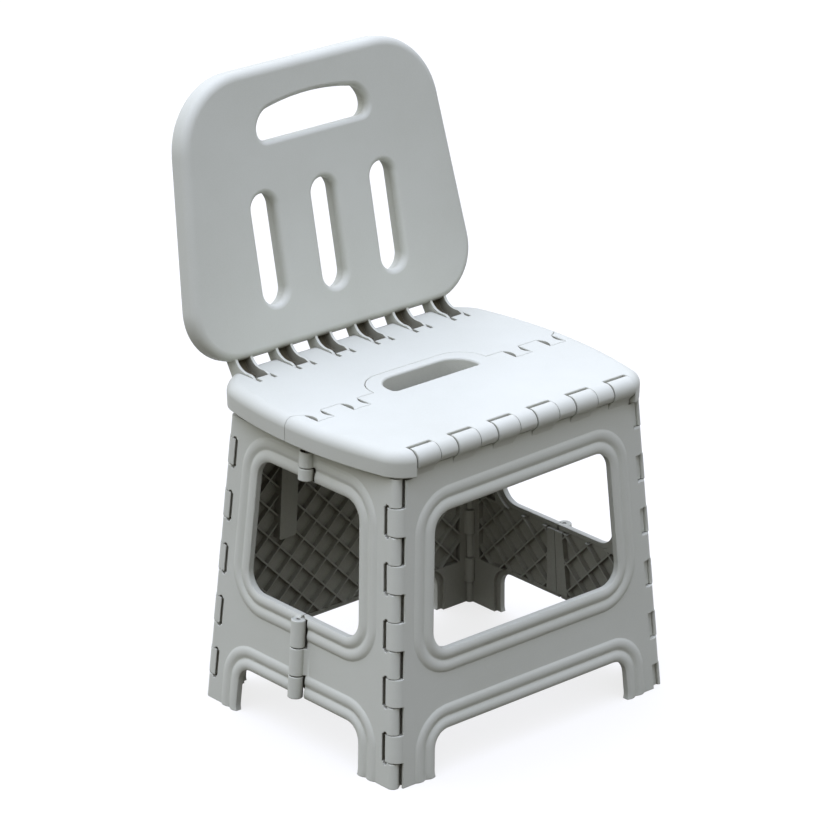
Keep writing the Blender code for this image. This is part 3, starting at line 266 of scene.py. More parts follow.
# finish, linear colours
SHELL_GREY = (0.602, 0.614, 0.538)
SHELL_PALE = (0.642, 0.654, 0.592)
SHELL_DULL = (0.567, 0.578, 0.5)
PAINTED_SHADE = (0.095, 0.076, 0.04)  # painted shade, laid where little of the room is in sight
PAINTED_SHADE_REACH = 0.25
PAINTED_SHADE_FULL = -0.06  # share of open room at which the painted shade would be full, and from which there is none
PAINTED_SHADE_NONE = 0.47
CHANNEL_PAINTED_SHADE = 0.88  # how strong the painted shade is in the channels of the backrest's arms, and how it fades
CHANNEL_FADE = 0.01
PIN_STEEL = (0.52, 0.53, 0.53)
PIN_DARK = (0.42, 0.43, 0.43)
FLOOR_WHITE = (0.2, 0.2, 0.2)  # what the lens sees of the floor: its shade on a white glow
FLOOR_GLOW = (0.78, 0.78, 0.78)
FLOOR_BOUNCE = (0.05, 0.042, 0.03)
TENT_TOP = 2.66  # light overhead
TENT_CURVE = 1.3  # how fast it falls away towards the horizon
TENT_LOW = (1.03, 1.00, 0.76)
TENT_HIGH = (0.94, 1.01, 1.36)
LEFT_SHARE = 0.28
CLOUD = 0.085  # sizes of the clouds, specks, scuffs and moulded grain
SPECK = 0.0011
SCUFF = 0.018
GRAIN = 0.0007
GRAIN_DEPTH = 0.00004
EDGE_SOFT = 0.0011  # radius of the shaded edges


def level_frame(p, q, r):
    """Plan drawing: across, along, height."""
    return np.stack(np.broadcast_arrays(p, q, r), -1)


def across_frame(p, q, r):
    """Side drawing carried across: along Y, height, X."""
    return np.stack(np.broadcast_arrays(r, p, q), -1)


def leg_frame(sign):
    """Leg panel, front (-1) or rear (1): across, height, depth inwards from the leaning outer face."""
    def place(p, q, r):
        return np.stack(np.broadcast_arrays(p, BASE_Y + sign * (FOOT_HALF_Y - SPLAY_Y * q - r), q), -1)
    return place


def side_frame(sign):
    """Side panel, left (-1) or right (1): along from the middle plane, height, depth inwards."""
    def place(p, q, r):
        return np.stack(np.broadcast_arrays(sign * (FOOT_HALF_X - SPLAY_X * q - r), BASE_Y + p, q), -1)
    return place


def back_frame(p, q, r):
    """Backrest: across, up the leaning plate from the seat top, depth to the rear of its middle plane."""
    y = BACK_MID_Y + q * math.sin(LEAN) + r * math.cos(LEAN)
    z = SEAT_TOP + q * math.cos(LEAN) - r * math.sin(LEAN)
    return np.stack(np.broadcast_arrays(p, y, z), -1)


def arcs(corners, radii, steps):
    """Closed outline: each corner gives way to an arc of its radius, touching both its sides."""
    p = np.asarray(corners, float)
    r = np.broadcast_to(np.asarray(radii, float), len(p))[:, None]
    a = np.roll(p, 1, 0) - p
    b = np.roll(p, -1, 0) - p
    a /= np.linalg.norm(a, axis=1, keepdims=True)
    b /= np.linalg.norm(b, axis=1, keepdims=True)
    half = 0.5 * np.arccos(np.clip((a * b).sum(1, keepdims=True), -1.0, 1.0))
    middle = (a + b) / np.linalg.norm(a + b, axis=1, keepdims=True)
    centre = p + middle * r / np.sin(half)
    s = p + a * r / np.tan(half) - centre
    e = p + b * r / np.tan(half) - centre
    turn = np.arctan2(s[:, 0] * e[:, 1] - s[:, 1] * e[:, 0], (s * e).sum(1))[:, None]
    t = turn * np.linspace(0.0, 1.0, steps + 1)
    x = centre[:, :1] + s[:, :1] * np.cos(t) - s[:, 1:] * np.sin(t)
    y = centre[:, 1:] + s[:, :1] * np.sin(t) + s[:, 1:] * np.cos(t)
    return np.stack([x, y], -1).reshape(-1, 2)


def turn_arc(radius, start, end, steps, y=0.0, z=0.0):
    """Arc about (y, z) from start to end, in degrees."""
    t = np.radians(np.linspace(start, end, steps + 1))
    return np.stack([y + radius * np.cos(t), z + radius * np.sin(t)], -1)


def leaning_outline(half, splay, low, high, radius, grow, shift=0.0, tilt=0.0):
    """Rounded opening whose sides lean with the panel, grown outwards; its upper edge may tilt a little."""
    zl, zh, w = low - grow, high + grow, half + grow
    b, t = w - splay * zl, w - splay * zh
    corners = [(shift - b, zl), (shift + b, zl), (shift + t, zh + tilt * t), (shift - t, zh - tilt * t)]
    return arcs(corners, radius + grow, 10)


def rectangle(x0, x1, y0, y1):
    """Corners of a rectangle, round from the lower left."""
    return [(x0, y0), (x1, y0), (x1, y1), (x0, y1)]


def skin(loops, ring=False):
    """Closed solid through loops of equal length: quads between neighbours, a flat face at each end.

    A ring's last loop joins its first and it has no ends.
    """
    loops = np.asarray(loops, float)
    count, size = loops.shape[:2]
    index = np.arange(count * size).reshape(count, size)
    low = index if ring else index[:-1]
    high = np.roll(index, -1, 0) if ring else index[1:]
    quads = np.stack([low, np.roll(low, -1, 1), np.roll(high, -1, 1), high], -1).reshape(-1, 4)
    ends = [] if ring else [index[0, ::-1], index[-1]]
    return loops.reshape(-1, 3), quads, ends


def carried(outline, depths, place):
    """Solid of one outline carried through several depths."""
    outline = np.asarray(outline, float)
    return skin([place(outline[:, 0], outline[:, 1], d) for d in depths])


def block(low, high):
    """Upright box between two corners."""
    return carried(rectangle(low[0], high[0], low[1], high[1]), (low[2], high[2]), level_frame)


def rod(a, b, radius, ease=0.0, sides=40):
    """Round bar from a to b: a circle square to its axis, drawn in by ease at both ends."""
    a, b = np.asarray(a, float), np.asarray(b, float)
    w = (b - a) / np.linalg.norm(b - a)
    u = np.cross(w, (0.0, 1.0, 0.0) if abs(w[1]) < 0.9 else (1.0, 0.0, 0.0))
    u /= np.linalg.norm(u)
    t = 2.0 * np.pi * np.arange(sides) / sides
    circle = np.cos(t)[:, None] * u + np.sin(t)[:, None] * np.cross(w, u)
    rings = [(a, radius), (b, radius)]
    if ease > 0.0:
        rings = [(a, radius - ease), (a + ease * w, radius), (b - ease * w, radius), (b, radius - ease)]
    return skin([c + r * circle for c, r in rings])


def cross_rod(y, z, x0, x1, radius):
    """Round bar along X."""
    return rod((x0, y, z), (x1, y, z), radius)


def cross_bore(y, z, half):
    """Bore along X for a hinge pin, to the same reach on both sides."""
    return rod((-half, y, z), (half, y, z), BORE_R, sides=16)


def mesh_piece(name, chunks):
    """Mesh object from closed chunks (points, quads, end faces), faces turned outwards."""
    starts = np.cumsum([0] + [len(c[0]) for c in chunks[:-1]])
    points = np.concatenate([c[0] for c in chunks])
    faces = np.concatenate([c[1] + s for c, s in zip(chunks, starts)]).tolist()
    faces += [(end + s).tolist() for c, s in zip(chunks, starts) for end in c[2]]
    mesh = bpy.data.meshes.new(name)
    mesh.from_pydata(points.tolist(), [], faces)
    bm = bmesh.new()
    bm.from_mesh(mesh)
    bmesh.ops.recalc_face_normals(bm, faces=bm.faces)
    bm.to_mesh(mesh)
    bm.free()
    ob = bpy.data.objects.new(name, mesh)
    bpy.context.scene.collection.objects.link(ob)
    return ob


def combine(ob, tool, operation):
    """One boolean with a tool, either an object or closed chunks that stay clear of each other."""
    if not isinstance(tool, bpy.types.Object):
        tool = mesh_piece(ob.name + "_tool", tool)
    step = ob.modifiers.new("step", "BOOLEAN")
    step.operation, step.solver, step.object = operation, "MANIFOLD", tool
    graph = bpy.context.evaluated_depsgraph_get()
    result = bpy.data.meshes.new_from_object(ob.evaluated_get(graph))
    ob.modifiers.clear()
    spent = (ob.data, tool.data)
    ob.data = result
    bpy.data.objects.remove(tool, do_unlink=True)
    for mesh in spent:
        bpy.data.meshes.remove(mesh)
    return ob


def cut(ob, tool):
    """Take the tool away from the piece."""
    return combine(ob, tool, "DIFFERENCE")


def add(ob, tool):
    """Grow the tool onto the piece."""
    return combine(ob, tool, "UNION")


def ridge(d, crest, half, height):
    """Soft ridge: height times (1 - |x|^2.2)^1.3, with x the distance from the crest over the half width."""
    x = np.clip(np.abs(d - crest) / half, 0.0, 1.0)
    return height * (1.0 - x ** 2.2) ** 1.3


def double_bead(opening, place):
    """Double bead round an opening: its section of two soft ridges is carried along the grown outline."""
    d = np.linspace(BEAD_START, BEAD_END, 36)
    fade = np.clip((BEAD_STOP - d) / BEAD_FADE, 0.0, 1.0)
    tuck = BEAD_TUCK * (d > BEAD_END - BEAD_TUCK)
    top = BEAD_BASE * fade + ridge(d, *INNER_RIDGE) + ridge(d, *OUTER_RIDGE) - tuck
    grow = np.concatenate([d, [BEAD_END, BEAD_START]])
    depth = np.concatenate([-top, [BEAD_SINK, BEAD_SINK]])
    loops = [place(*leaning_outline(grow=g, **opening).T, r) for g, r in zip(grow, depth)]
    return skin(loops, ring=True)


def band(inner, outer, splay, low, high, sign):
    """Leaning strip of a panel on one side of its middle, from an inner to an outer edge."""
    z = np.array([low, low, high, high])
    edge = np.array([inner, outer, outer, inner])
    return np.stack([sign * (edge - splay * z), z], -1)


def full_band(half, splay, low, high):
    """Leaning strip across the whole panel."""
    b, t = half - splay * low, half - splay * high
    return [(-b, low), (b, low), (t, high), (-t, high)]


def diamond_pockets(bands, place):
    """Pockets between crossing diagonal ribs: a grid of diamonds, kept where the bands lie."""
    i, j = np.meshgrid(np.arange(-12, 13), np.arange(-1, 24), indexing="ij")
    on = (i + j) % 2 == 0
    middle = np.stack([i[on], j[on]], -1) * DIAMOND
    reach = DIAMOND - RIB_T / math.sqrt(2.0)
    corner = reach * np.array([(1.0, 0.0), (0.0, 1.0), (-1.0, 0.0), (0.0, -1.0)])
    cells = mesh_piece("pockets", [carried(m + corner, (SKIN_T, PANEL_T + OVER), place) for m in middle])
    room = (SKIN_T - 0.5 * OVER, PANEL_T + 1.5 * OVER)
    return combine(cells, [carried(b, room, place) for b in bands], "INTERSECT")


def shortened(spans, by):
    """Spans drawn in by a distance at both ends."""
    return [(a + by, b - by) for a, b in spans]


def mirrored(spans):
    """Spans and their mirror images about X = 0."""
    return spans + [(-b, -a) for a, b in spans]


def corner_point(sx, sy, z):
    """Point of a leaning corner axis at a height."""
    x = FOOT_HALF_X - CORNER_IN - SPLAY_X * z
    y = FOOT_HALF_Y - CORNER_IN - SPLAY_Y * z
    return np.array([sx * x, BASE_Y + sy * y, z])


def knuckle_spans():
    """Heights of the corner knuckles: those of the legs and, between them, those of the sides."""
    z = np.linspace(KNUCKLE_TOP, KNUCKLE_LOW, KNUCKLE_COUNT)
    legs = [(z[k + 1], z[k]) for k in range(0, KNUCKLE_COUNT - 1, 2)]
    sides = [(z[0], SIDE_TOP)] + [(z[k + 1], z[k]) for k in range(1, KNUCKLE_COUNT - 1, 2)]
    return legs, sides + [(KNUCKLE_END, z[-1])]


def corner_barrels(sx, sy, spans, radius, u=0.0, v=0.0):
    """Barrels beside a corner axis, set off by u along the leg and v along the side, over height spans."""
    off = np.array([-sx * u, -sy * v, 0.0])
    return [rod(corner_point(sx, sy, a) + off, corner_point(sx, sy, b) + off, radius, END_BREAK)
            for a, b in shortened(spans, 0.5 * KNUCKLE_GAP)]


def corner_rooms(sx, sy, spans, outline):
    """Solids at a corner: a plan outline, along leg and side, carried up the axis with square ends."""
    u, v = np.asarray(outline, float).T

    def loop(z):
        x, y, _ = corner_point(sx, sy, z)
        return level_frame(x - sx * u, y - sy * v, z - SPLAY_X * u - SPLAY_Y * v)

    return [skin([loop(a), loop(b)]) for a, b in spans]


def corner_bore(sx, sy):
    """Bore for a corner pin, right through."""
    return rod(corner_point(sx, sy, -PAST), corner_point(sx, sy, SEAT_TOP + PAST), BORE_R, sides=16)


def leg_knuckle():
    """Leg knuckle in plan: it turns the corner in a wide round and runs on along the side as a thin lip."""
    face, back = LEG_SET - CORNER_IN, LEG_LIP_T - CORNER_IN
    outer = turn_arc(CORNER_IN - LEG_SET, 270.0, 180.0, 14)
    lip = [(face, LEG_WRAP - LEG_BREAK), (face + LEG_BREAK, LEG_WRAP), (back, LEG_WRAP), (back, 2.0 * LEG_BREAK)]
    inner = turn_arc(LEG_CORE, 160.0, -60.0, 16)
    return np.concatenate([[(LEG_JOIN[0], face)], outer, lip, inner, [LEG_JOIN[1:]]])


def leg_room(sx):
    """Room in a leg for a side knuckle: deep behind a lip that narrows the slot, closed again round its barrel."""
    core, slot, inside, face = SIDE_CORE + CORE_PLAY, LEG_SLOT[sx], 0.6 * PAST, LEG_LIP - CORNER_IN
    start, end, close = np.degrees(np.arcsin([face / LEG_RELIEF, LEG_BACK / LEG_RELIEF, LEG_BACK / core]))
    deep = turn_arc(LEG_RELIEF, start, end, 12)
    behind = turn_arc(core, close, 0.0, 6)
    return np.concatenate([[(slot, -PAST), (slot, face)], deep, behind,
                           [(core, inside), (-PAST, inside), (-PAST, -PAST)]])


def side_room():
    """Room in a side for a leg knuckle: close round its barrel, then a pocket whose slot a lip narrows."""
    behind = turn_arc(LEG_CORE + SIDE_PLAY, -60.0, 122.0, 20)
    face = SIDE_LIP - CORNER_IN
    return np.concatenate([[(-PAST, -SIDE_RELIEF), (behind[0, 0], -SIDE_RELIEF)], behind,
                           [(behind[-1, 0], SIDE_POCKET), (face, SIDE_POCKET), (face, SIDE_SLOT), (-PAST, SIDE_SLOT)]])


def level(ob, top=SEAT_TOP + PAST):
    """Trim a panel at the floor and at its top."""
    return cut(ob, [block((-FAR, -FAR, -FAR), (FAR, FAR, 0.0)), block((-FAR, -FAR, top), (FAR, FAR, FAR))])


def flank(window, outer, sign):
    """Band for the pockets beside a window."""
    low, high = window["low"] - POCKET_LAP, window["high"] + POCKET_LAP
    return band(window["half"] + POCKET_RIM, outer, window["splay"], low, high, sign)


def open_panel(ob, openings, bands, place):
    """Beads and pockets of a panel, and its openings, their edges thinned from behind to a lip."""
    add(ob, [double_bead(o, place) for o in openings])
    cut(ob, diamond_pockets(bands, place))
    for grow, start in ((0.0, -0.5 * PAST), (LIP_WIDE, LIP_T)):
        cut(ob, [carried(leaning_outline(grow=grow, **o), (start, PAST), place) for o in openings])


def leg_panel(name, sign, top, window):
    """Leg plate with foot arch, beads, diamond pockets and its corner knuckles, with or without a window."""
    place = leg_frame(sign)
    edge = FOOT_HALF_X - CORNER_IN
    ob = mesh_piece(name, [carried(full_band(edge, SPLAY_X, FLOOR_CUT, top), (0.0, PANEL_T), place)])
    outer, low = edge - POCKET_SIDE, FRONT_ARCH["high"] + POCKET_RIM
    if window:
        bands = [full_band(outer, SPLAY_X, low, FRONT_WINDOW["low"] - POCKET_RIM)]
        bands += [flank(FRONT_WINDOW, outer, s) for s in (-1, 1)]
    else:
        bands = [full_band(outer, SPLAY_X, low, top - POCKET_TOP)]
    open_panel(ob, [FRONT_ARCH, FRONT_WINDOW] if window else [FRONT_ARCH], bands, place)
    legs, sides = knuckle_spans()
    legs = shortened(legs, 0.5 * KNUCKLE_GAP)
    add(ob, [r for s in (-1, 1) for r in corner_rooms(s, sign, legs, leg_knuckle())])
    cut(ob, [r for s in (-1, 1) for r in corner_rooms(s, sign, sides, leg_room(s))])
    cut(ob, [corner_bore(s, sign) for s in (-1, 1)])
    return level(ob)


def front_leg():
    """Front leg: windowed panel whose six straps wrap round the seat's front edge as hinge barrels."""
    ob = leg_panel("front_leg_moulding", -1, STRAP_TOP, True)
    half, reach = 0.5 * LEG_KNUCKLE_W, FOOT_HALF_X + 0.5 * PAST
    edges = np.stack([HINGE_X - half, HINGE_X + half], -1).ravel()
    ends = np.concatenate([[-reach], edges, [reach]]).reshape(-1, 2)
    cut(ob, [cross_rod(FRONT_AXIS_Y, AXIS_Z, a, b, FRONT_SWING) for a, b in ends[1:-1]])
    cut(ob, [cross_rod(FRONT_AXIS_Y, AXIS_Z, a, b, CORNER_SWING) for a, b in ends[[0, -1]]])
    cut(ob, [block((a, -FAR, LEG_TOP), (b, FAR, FAR)) for a, b in ends])
    face = BASE_Y - FOOT_HALF_Y + SPLAY_Y * STRAP_TOP - FRONT_AXIS_Y
    neck = np.array(STRAP_NECK) + (face, 0.0)
    front = turn_arc(STRAP_R, 222.0, 92.0, 20)
    heel = turn_arc(STRAP_HEEL, 90.0, 0.0, 12, STRAP_FLAT, STRAP_R - STRAP_HEEL)
    shape = np.concatenate([neck, front, heel, np.array(STRAP_BEHIND) + (face + PANEL_T, 0.0)])
    add(ob, [carried(shape + (FRONT_AXIS_Y, AXIS_Z), (x - half, x + half), across_frame) for x in HINGE_X])
    behind, below = FRONT_AXIS_Y + FRONT_SLOT - STRAP_CLEAR, SEAT_TOP - SEAT_RIM - 0.5 * OVER
    cut(ob, [block((x - half - GAP, behind, below), (x + half + GAP, 0.0, FAR)) for x in HINGE_X])
    top = [(KNUCKLE_TOP, SEAT_TOP + PAST)]
    cut(ob, [r for s in (-1, 1) for r in corner_rooms(s, -1, top, leg_room(s))])
    return cut(ob, [cross_bore(FRONT_AXIS_Y, AXIS_Z, WIDE)])


def rear_leg():
    """Rear leg: full panel with two upright bars inside and six straps that stand in the arms' channels."""
    ob = leg_panel("rear_leg_moulding", 1, REAR_TOP, False)
    half = 0.5 * BRACE["width"]
    bars = [arcs(rectangle(x - half, x + half, BRACE["low"], BRACE["high"]), BRACE["radius"], 4)
            for x in (-BRACE["x"], BRACE["x"])]
    add(ob, [carried(b, (SKIN_T - 0.5 * OVER, PANEL_T + BRACE["height"]), leg_frame(1)) for b in bars])
    root, top = REAR_TOP - 2.5 * OVER, FRAME_TOP + 0.5 * OVER
    front = BASE_Y + FOOT_HALF_Y - SPLAY_Y * root - PANEL_T
    turn = math.degrees(math.acos(STRAP_BACK / STRAP_HUB_R))
    hub = turn_arc(STRAP_HUB_R, -turn, 205.0, 24, REAR_AXIS_Y, AXIS_Z)
    shape = np.concatenate([[(front, root), (REAR_AXIS_Y + STRAP_BACK, root)], hub, [(front, top)]])
    half = 0.5 * STRAP_W
    add(ob, [carried(shape, (x - half, x + half), across_frame) for x in HINGE_X])
    return cut(ob, [cross_bore(REAR_AXIS_Y, AXIS_Z, WIDE)])


def side_axis(sign, z):
    """Point of a side's leaning middle hinge axis at a height."""
    return np.array([sign * (FOOT_HALF_X - SPLAY_X * z + SIDE_AXIS_OUT), BASE_Y, z])


def side_rods(sign, spans, radius, ease=0.0):
    """Round bars on a side's hinge axis over height spans."""
    return [rod(side_axis(sign, a), side_axis(sign, b), radius, ease) for a, b in spans]


def barrel_foot(s, a, b, place):
    """Foot of a hinge barrel: a hollow curve from the barrel's flank out to the panel, carried up."""
    t = np.linspace(0.0, 1.0, 12)
    along = FOOT_START + (FOOT_END - FOOT_START) * t
    rise = FOOT_RISE * (1.0 - t) ** 2.2
    base = [(FOOT_END, FOOT_SINK), (FOOT_SINK, FOOT_SINK), (FOOT_SINK, -FOOT_RISE)]
    section = np.concatenate([np.stack([along, -rise], -1), base])
    return skin([place(s * section[:, 0], np.full(len(section), z), section[:, 1]) for z in (a, b)])


def side_half(name, sign, front):
    """Half of a side panel, split on the middle plane, with its corner and middle knuckles."""
    place = side_frame(sign)
    edge = FOOT_HALF_Y - CORNER_IN
    s = -1 if front else 1
    plate = full_band(edge - SIDE_BARREL[sign][2], SPLAY_Y, FLOOR_CUT, SEAT_TOP)
    ob = mesh_piece(name, [carried(plate, (0.0, PANEL_T), place)])
    outer, inner = edge - POCKET_SIDE, POCKET_MIDDLE + SPLAY_Y * SIDE_ARCH["high"]
    low, high = SIDE_ARCH["high"] + POCKET_RIM, SIDE_WINDOW["low"] - POCKET_RIM
    bands = [flank(SIDE_WINDOW, outer, s), band(inner, outer, SPLAY_Y, low, high, s)]
    open_panel(ob, [SIDE_WINDOW, SIDE_ARCH], bands, place)
    cut(ob, [block((-FAR, BASE_Y + 0.5 * s * SEAM, -FAR), (FAR, -s * FAR, FAR))])
    legs, sides = knuckle_spans()
    add(ob, corner_barrels(sign, s, sides, *SIDE_BARREL[sign]))
    add(ob, corner_barrels(sign, s, sides, SIDE_CORE))
    cut(ob, [corner_bore(sign, s)])
    cut(ob, corner_rooms(sign, s, legs, side_room()))
    dot_in = s * (SIDE_SLOT - 1.6 * PIN_DOT)
    dots = [(side_axis(sign, z)[0], corner_point(sign, s, z)[1] - dot_in, z) for z in np.ravel(legs)]
    cut(ob, [rod((x, y, z), (x - sign * DOT_DEEP, y, z), PIN_DOT, sides=16) for x, y, z in dots])
    rear_own = [SIDE_LOW[:2], SIDE_LOW[2:], SIDE_HIGH[:2]]
    front_own = [SIDE_LOW[1:3], SIDE_HIGH[1:]]
    mine, theirs = (front_own, rear_own) if front else (rear_own, front_own)
    cut(ob, side_rods(sign, shortened(theirs, -GAP), HINGE_RELIEF))
    add(ob, [barrel_foot(s, a, b, place) for a, b in shortened(mine, 2.0 * GAP)])
    add(ob, side_rods(sign, shortened(mine, GAP), SIDE_BARREL_R, END_BREAK))
    cut(ob, side_rods(sign, SIDE_BORES, SIDE_PLAY_R if front else SIDE_TIGHT_R))
    return level(ob, SIDE_TOP - KNUCKLE_GAP if front else SIDE_REAR_TOP)


def seat_outline(inset):
    """Seat plan drawn inset: rounded rectangle whose sides bow out by a parabola along Y."""
    w, d = SEAT_HALF_W - inset, SEAT_HALF_D - inset
    radii = np.array([SEAT_CORNER, SEAT_CORNER, SEAT_CORNER_REAR, SEAT_CORNER_REAR]) - inset
    turns = arcs(rectangle(-w, w, -d, d), radii, 12).reshape(4, 13, 2)
    right = np.linspace(turns[1, -1], turns[2, 0], 26)[1:-1]
    left = np.linspace(turns[3, -1], turns[0, 0], 26)[1:-1]
    x, y = np.concatenate([turns[0], turns[1], right, turns[2], turns[3], left]).T
    rho = np.where(y < 0.0, SEAT_CORNER, SEAT_CORNER_REAR) - inset
    share = np.clip((np.abs(x) - w + rho) / rho, 0.0, None)
    bow = SEAT_BULGE * (1.0 - (y / d) ** 2) * share
    return np.stack([x + np.sign(x) * bow, SEAT_MID_Y + y], -1)


def quarter(steps):
    """Quarter round of unit radius: pairs of (draw-in, drop from the top), from the flank to the top."""
    t = np.linspace(0.0, 0.5 * np.pi, steps + 1)
    return np.stack([1.0 - np.cos(t), 1.0 - np.sin(t)], -1)


def seat_blank(name):
    """Whole seat: its outline carried up a nearly upright rim and over a quarter round to the flat top."""
    low = SEAT_TOP - SEAT_RIM
    steps = [(i, low + z) for i, z in RIM_BREAK]
    steps += [(SEAT_ROUND * i, SEAT_TOP - SEAT_ROUND * d) for i, d in quarter(8)]
    return mesh_piece(name, [skin([level_frame(*seat_outline(i).T, z) for i, z in steps])])


def mouth(low, high, ease, steps=6):
    """Levels of a cutter that leaves a surface at high with a quarter-round lip: pairs of (grow, level)."""
    lip = [(ease * i, high - ease * d + LIFT) for i, d in quarter(steps)]
    return [(0.0, low)] + lip + [(ease, high + 0.5 * PAST)]


def seam_line(offset):
    """Seam of the seat halves from -X to +X, moved to the rear by offset: tabs, and the grip tab's bow."""
    t0, t1, t2, t3 = TABS
    out = TAB_OUT
    steps = [(RING_HALF, out), (t0, out), (t0, -out), (t1, -out), (t1, out),
             (t2, out), (t2, -out), (t3, -out), (t3, out)]
    t = np.linspace(0.15, 1.0, 12)
    run = np.stack([t3 + TAB_RUN * t, out + (TAB_END - out) * np.sin(0.5 * np.pi * t) ** 1.5], -1)
    half = np.concatenate([steps, run, [(WIDE, TAB_END)]])
    bow = arcs(rectangle(-RING_HALF, RING_HALF, RING_REAR, 0.0), RING_RADIUS, 10)[:22]
    line = np.concatenate([half[::-1] * (-1.0, 1.0), bow, half])
    step = np.diff(line, axis=0)
    normal = np.stack([-step[:, 1], step[:, 0]], -1) / np.linalg.norm(step, axis=1, keepdims=True)
    before = np.concatenate([normal[:1], normal])
    both = before + np.concatenate([normal, normal[-1:]])
    both /= np.maximum(0.3, (both * before).sum(1, keepdims=True))
    return line + both * offset + (0.0, CENTRE_Y)


def seam_tool(sign):
    """Cutter that leaves one seat half (1 the front, -1 the rear): the seam opens in a quarter round at the top."""
    far = np.array([(WIDE, SEAT_MID_Y + sign * WIDE), (-WIDE, SEAT_MID_Y + sign * WIDE)])
    return skin([level_frame(*np.concatenate([seam_line(-sign * (0.5 * GAP + g)), far]).T, z)
                 for g, z in mouth(0.5 * WIDE, SEAT_TOP, EDGE_BREAK)])


def plan_tool(outline, low, ease):
    """Cutter down through the seat top: a plan outline(grow) with a quarter-round lip."""
    return skin([level_frame(*outline(g).T, z) for g, z in mouth(low, SEAT_TOP, ease)])


def plan_box(x0, x1, y0, y1, radius, grow):
    """Rounded rectangle in plan, grown outwards by a distance."""
    return arcs(rectangle(x0 - grow, x1 + grow, y0 - grow, y1 + grow), np.asarray(radius) + grow, 6)


def centre_lugs(spans):
    """Lugs under the seat on the centre axis: straight flanks and a half-round end, carried across."""
    top = SEAT_TOP - SEAT_RIM + 2.0 * OVER
    end = turn_arc(CENTRE_R, 180.0, 360.0, 16, CENTRE_Y, CENTRE_Z)
    shape = np.concatenate([[(CENTRE_Y - CENTRE_R, top)], end, [(CENTRE_Y + CENTRE_R, top)]])
    return [carried(shape, pair, across_frame) for pair in shortened(mirrored(spans), GAP)]


def seat_cells(inner, outer, front, rear, middle):
    """Cells between ribs under the seat: two by two on both sides, rows and columns in the middle."""
    low, high, rib = SEAT_TOP - SEAT_RIM - 2.0 * OVER, SEAT_TOP - SEAT_SKIN, 0.5 * RIB_T
    cells = []
    for x0, x1, y0, y1, nx, ny in ((-outer, -inner, front, rear, 2, 2), (inner, outer, front, rear, 2, 2), middle):
        x, y = np.linspace(x0, x1, nx + 1), np.linspace(y0, y1, ny + 1)
        cells += [block((x[i] + rib, y[j] + rib, low), (x[i + 1] - rib, y[j + 1] - rib, high))
                  for i in range(nx) for j in range(ny)]
    return cells


def centre_rooms(spans):
    """Rooms on the centre axis for the other half's lugs."""
    return [cross_rod(CENTRE_Y, CENTRE_Z, a, b, CENTRE_RELIEF) for a, b in shortened(mirrored(spans), -GAP)]


def seat_front():
    """Front seat half: tabs, grip hole, front knuckles with a rounded nose, cells and lugs below."""
    ob = seat_blank("seat_front_moulding")
    cut(ob, [seam_tool(1)])
    grip, radii = GRIP["half"], [GRIP["sharp"], GRIP["sharp"], GRIP["radius"], GRIP["radius"]]
    cut(ob, [plan_tool(lambda g: plan_box(-grip, grip, GRIP["front"], GRIP["rear"], radii, g), WIDE, GRIP_EASE)])
    half = 0.5 * LEG_KNUCKLE_W + STRAP_GAP
    wall = FRONT_AXIS_Y + FRONT_SLOT
    cut(ob, [plan_tool(lambda g, x=x: plan_box(x - half, x + half, wall - 0.07, wall, SLOT_CORNER, g), WIDE, SLOT_EASE)
             for x in HINGE_X])
    turn = 0.5 * LEG_KNUCKLE_W + GAP
    cut(ob, [cross_rod(FRONT_AXIS_Y, AXIS_Z, x - turn, x + turn, STRAP_R + GAP) for x in HINGE_X])
    barrel = turn_arc(SEAT_BARREL, -34.0, -270.0, 36, 0.0, AXIS_DROP - SEAT_BARREL)
    clear = [(0.0, PAST), (-0.03, PAST), (-0.03, -0.03), (EDGE_BACK, -0.03), (EDGE_BACK, barrel[0, 1])]
    edge = np.concatenate([clear, barrel])
    reach = HINGE_HALF + half
    cut(ob, [carried(edge + (FRONT_AXIS_Y, AXIS_Z), (-reach, reach), across_frame)])
    front, rear = FRONT_AXIS_Y + CELL_FRONT, CENTRE_Y - TAB_OUT - CELL_TAB
    mid, cell, wide = *CELL_GRIP, SEAT_HALF_W - SEAT_WALL - 0.002
    cut(ob, seat_cells(cell, wide, front, rear, (-mid, mid, front, GRIP["front"] - CELL_RIM, 3, 2)))
    t0, t1, t2, t3 = TABS
    add(ob, centre_lugs([(t1, t2)]))
    cut(ob, centre_rooms([(t0, t1), (t2, t3)]))
    return cut(ob, [cross_bore(FRONT_AXIS_Y, AXIS_Z, FRONT_BORE), cross_bore(CENTRE_Y, CENTRE_Z, FOOT_HALF_X)])


def flank_bites():
    """Hollows in the flanks of the rear half's tabs: circular segments on each step of the seam."""
    y = np.linspace(-1.0, 1.0, 15)
    depth, slack = TAB_BITE * (1.0 - y ** 2), 0.5 * GAP
    tools = []
    for x, way in [(s * x, s * way) for s in (1, -1) for x, way in zip(TABS, (1, -1, 1, -1))]:
        inner = np.stack([x + way * depth, CENTRE_Y + y * (TAB_OUT - slack)], -1)
        back = np.array([(x - way * slack, inner[-1, 1]), (x - way * slack, inner[0, 1])])
        tools.append(carried(np.concatenate([inner, back]), (SEAT_TOP - BITE_DEEP, SEAT_TOP + OVER), level_frame))
    return tools


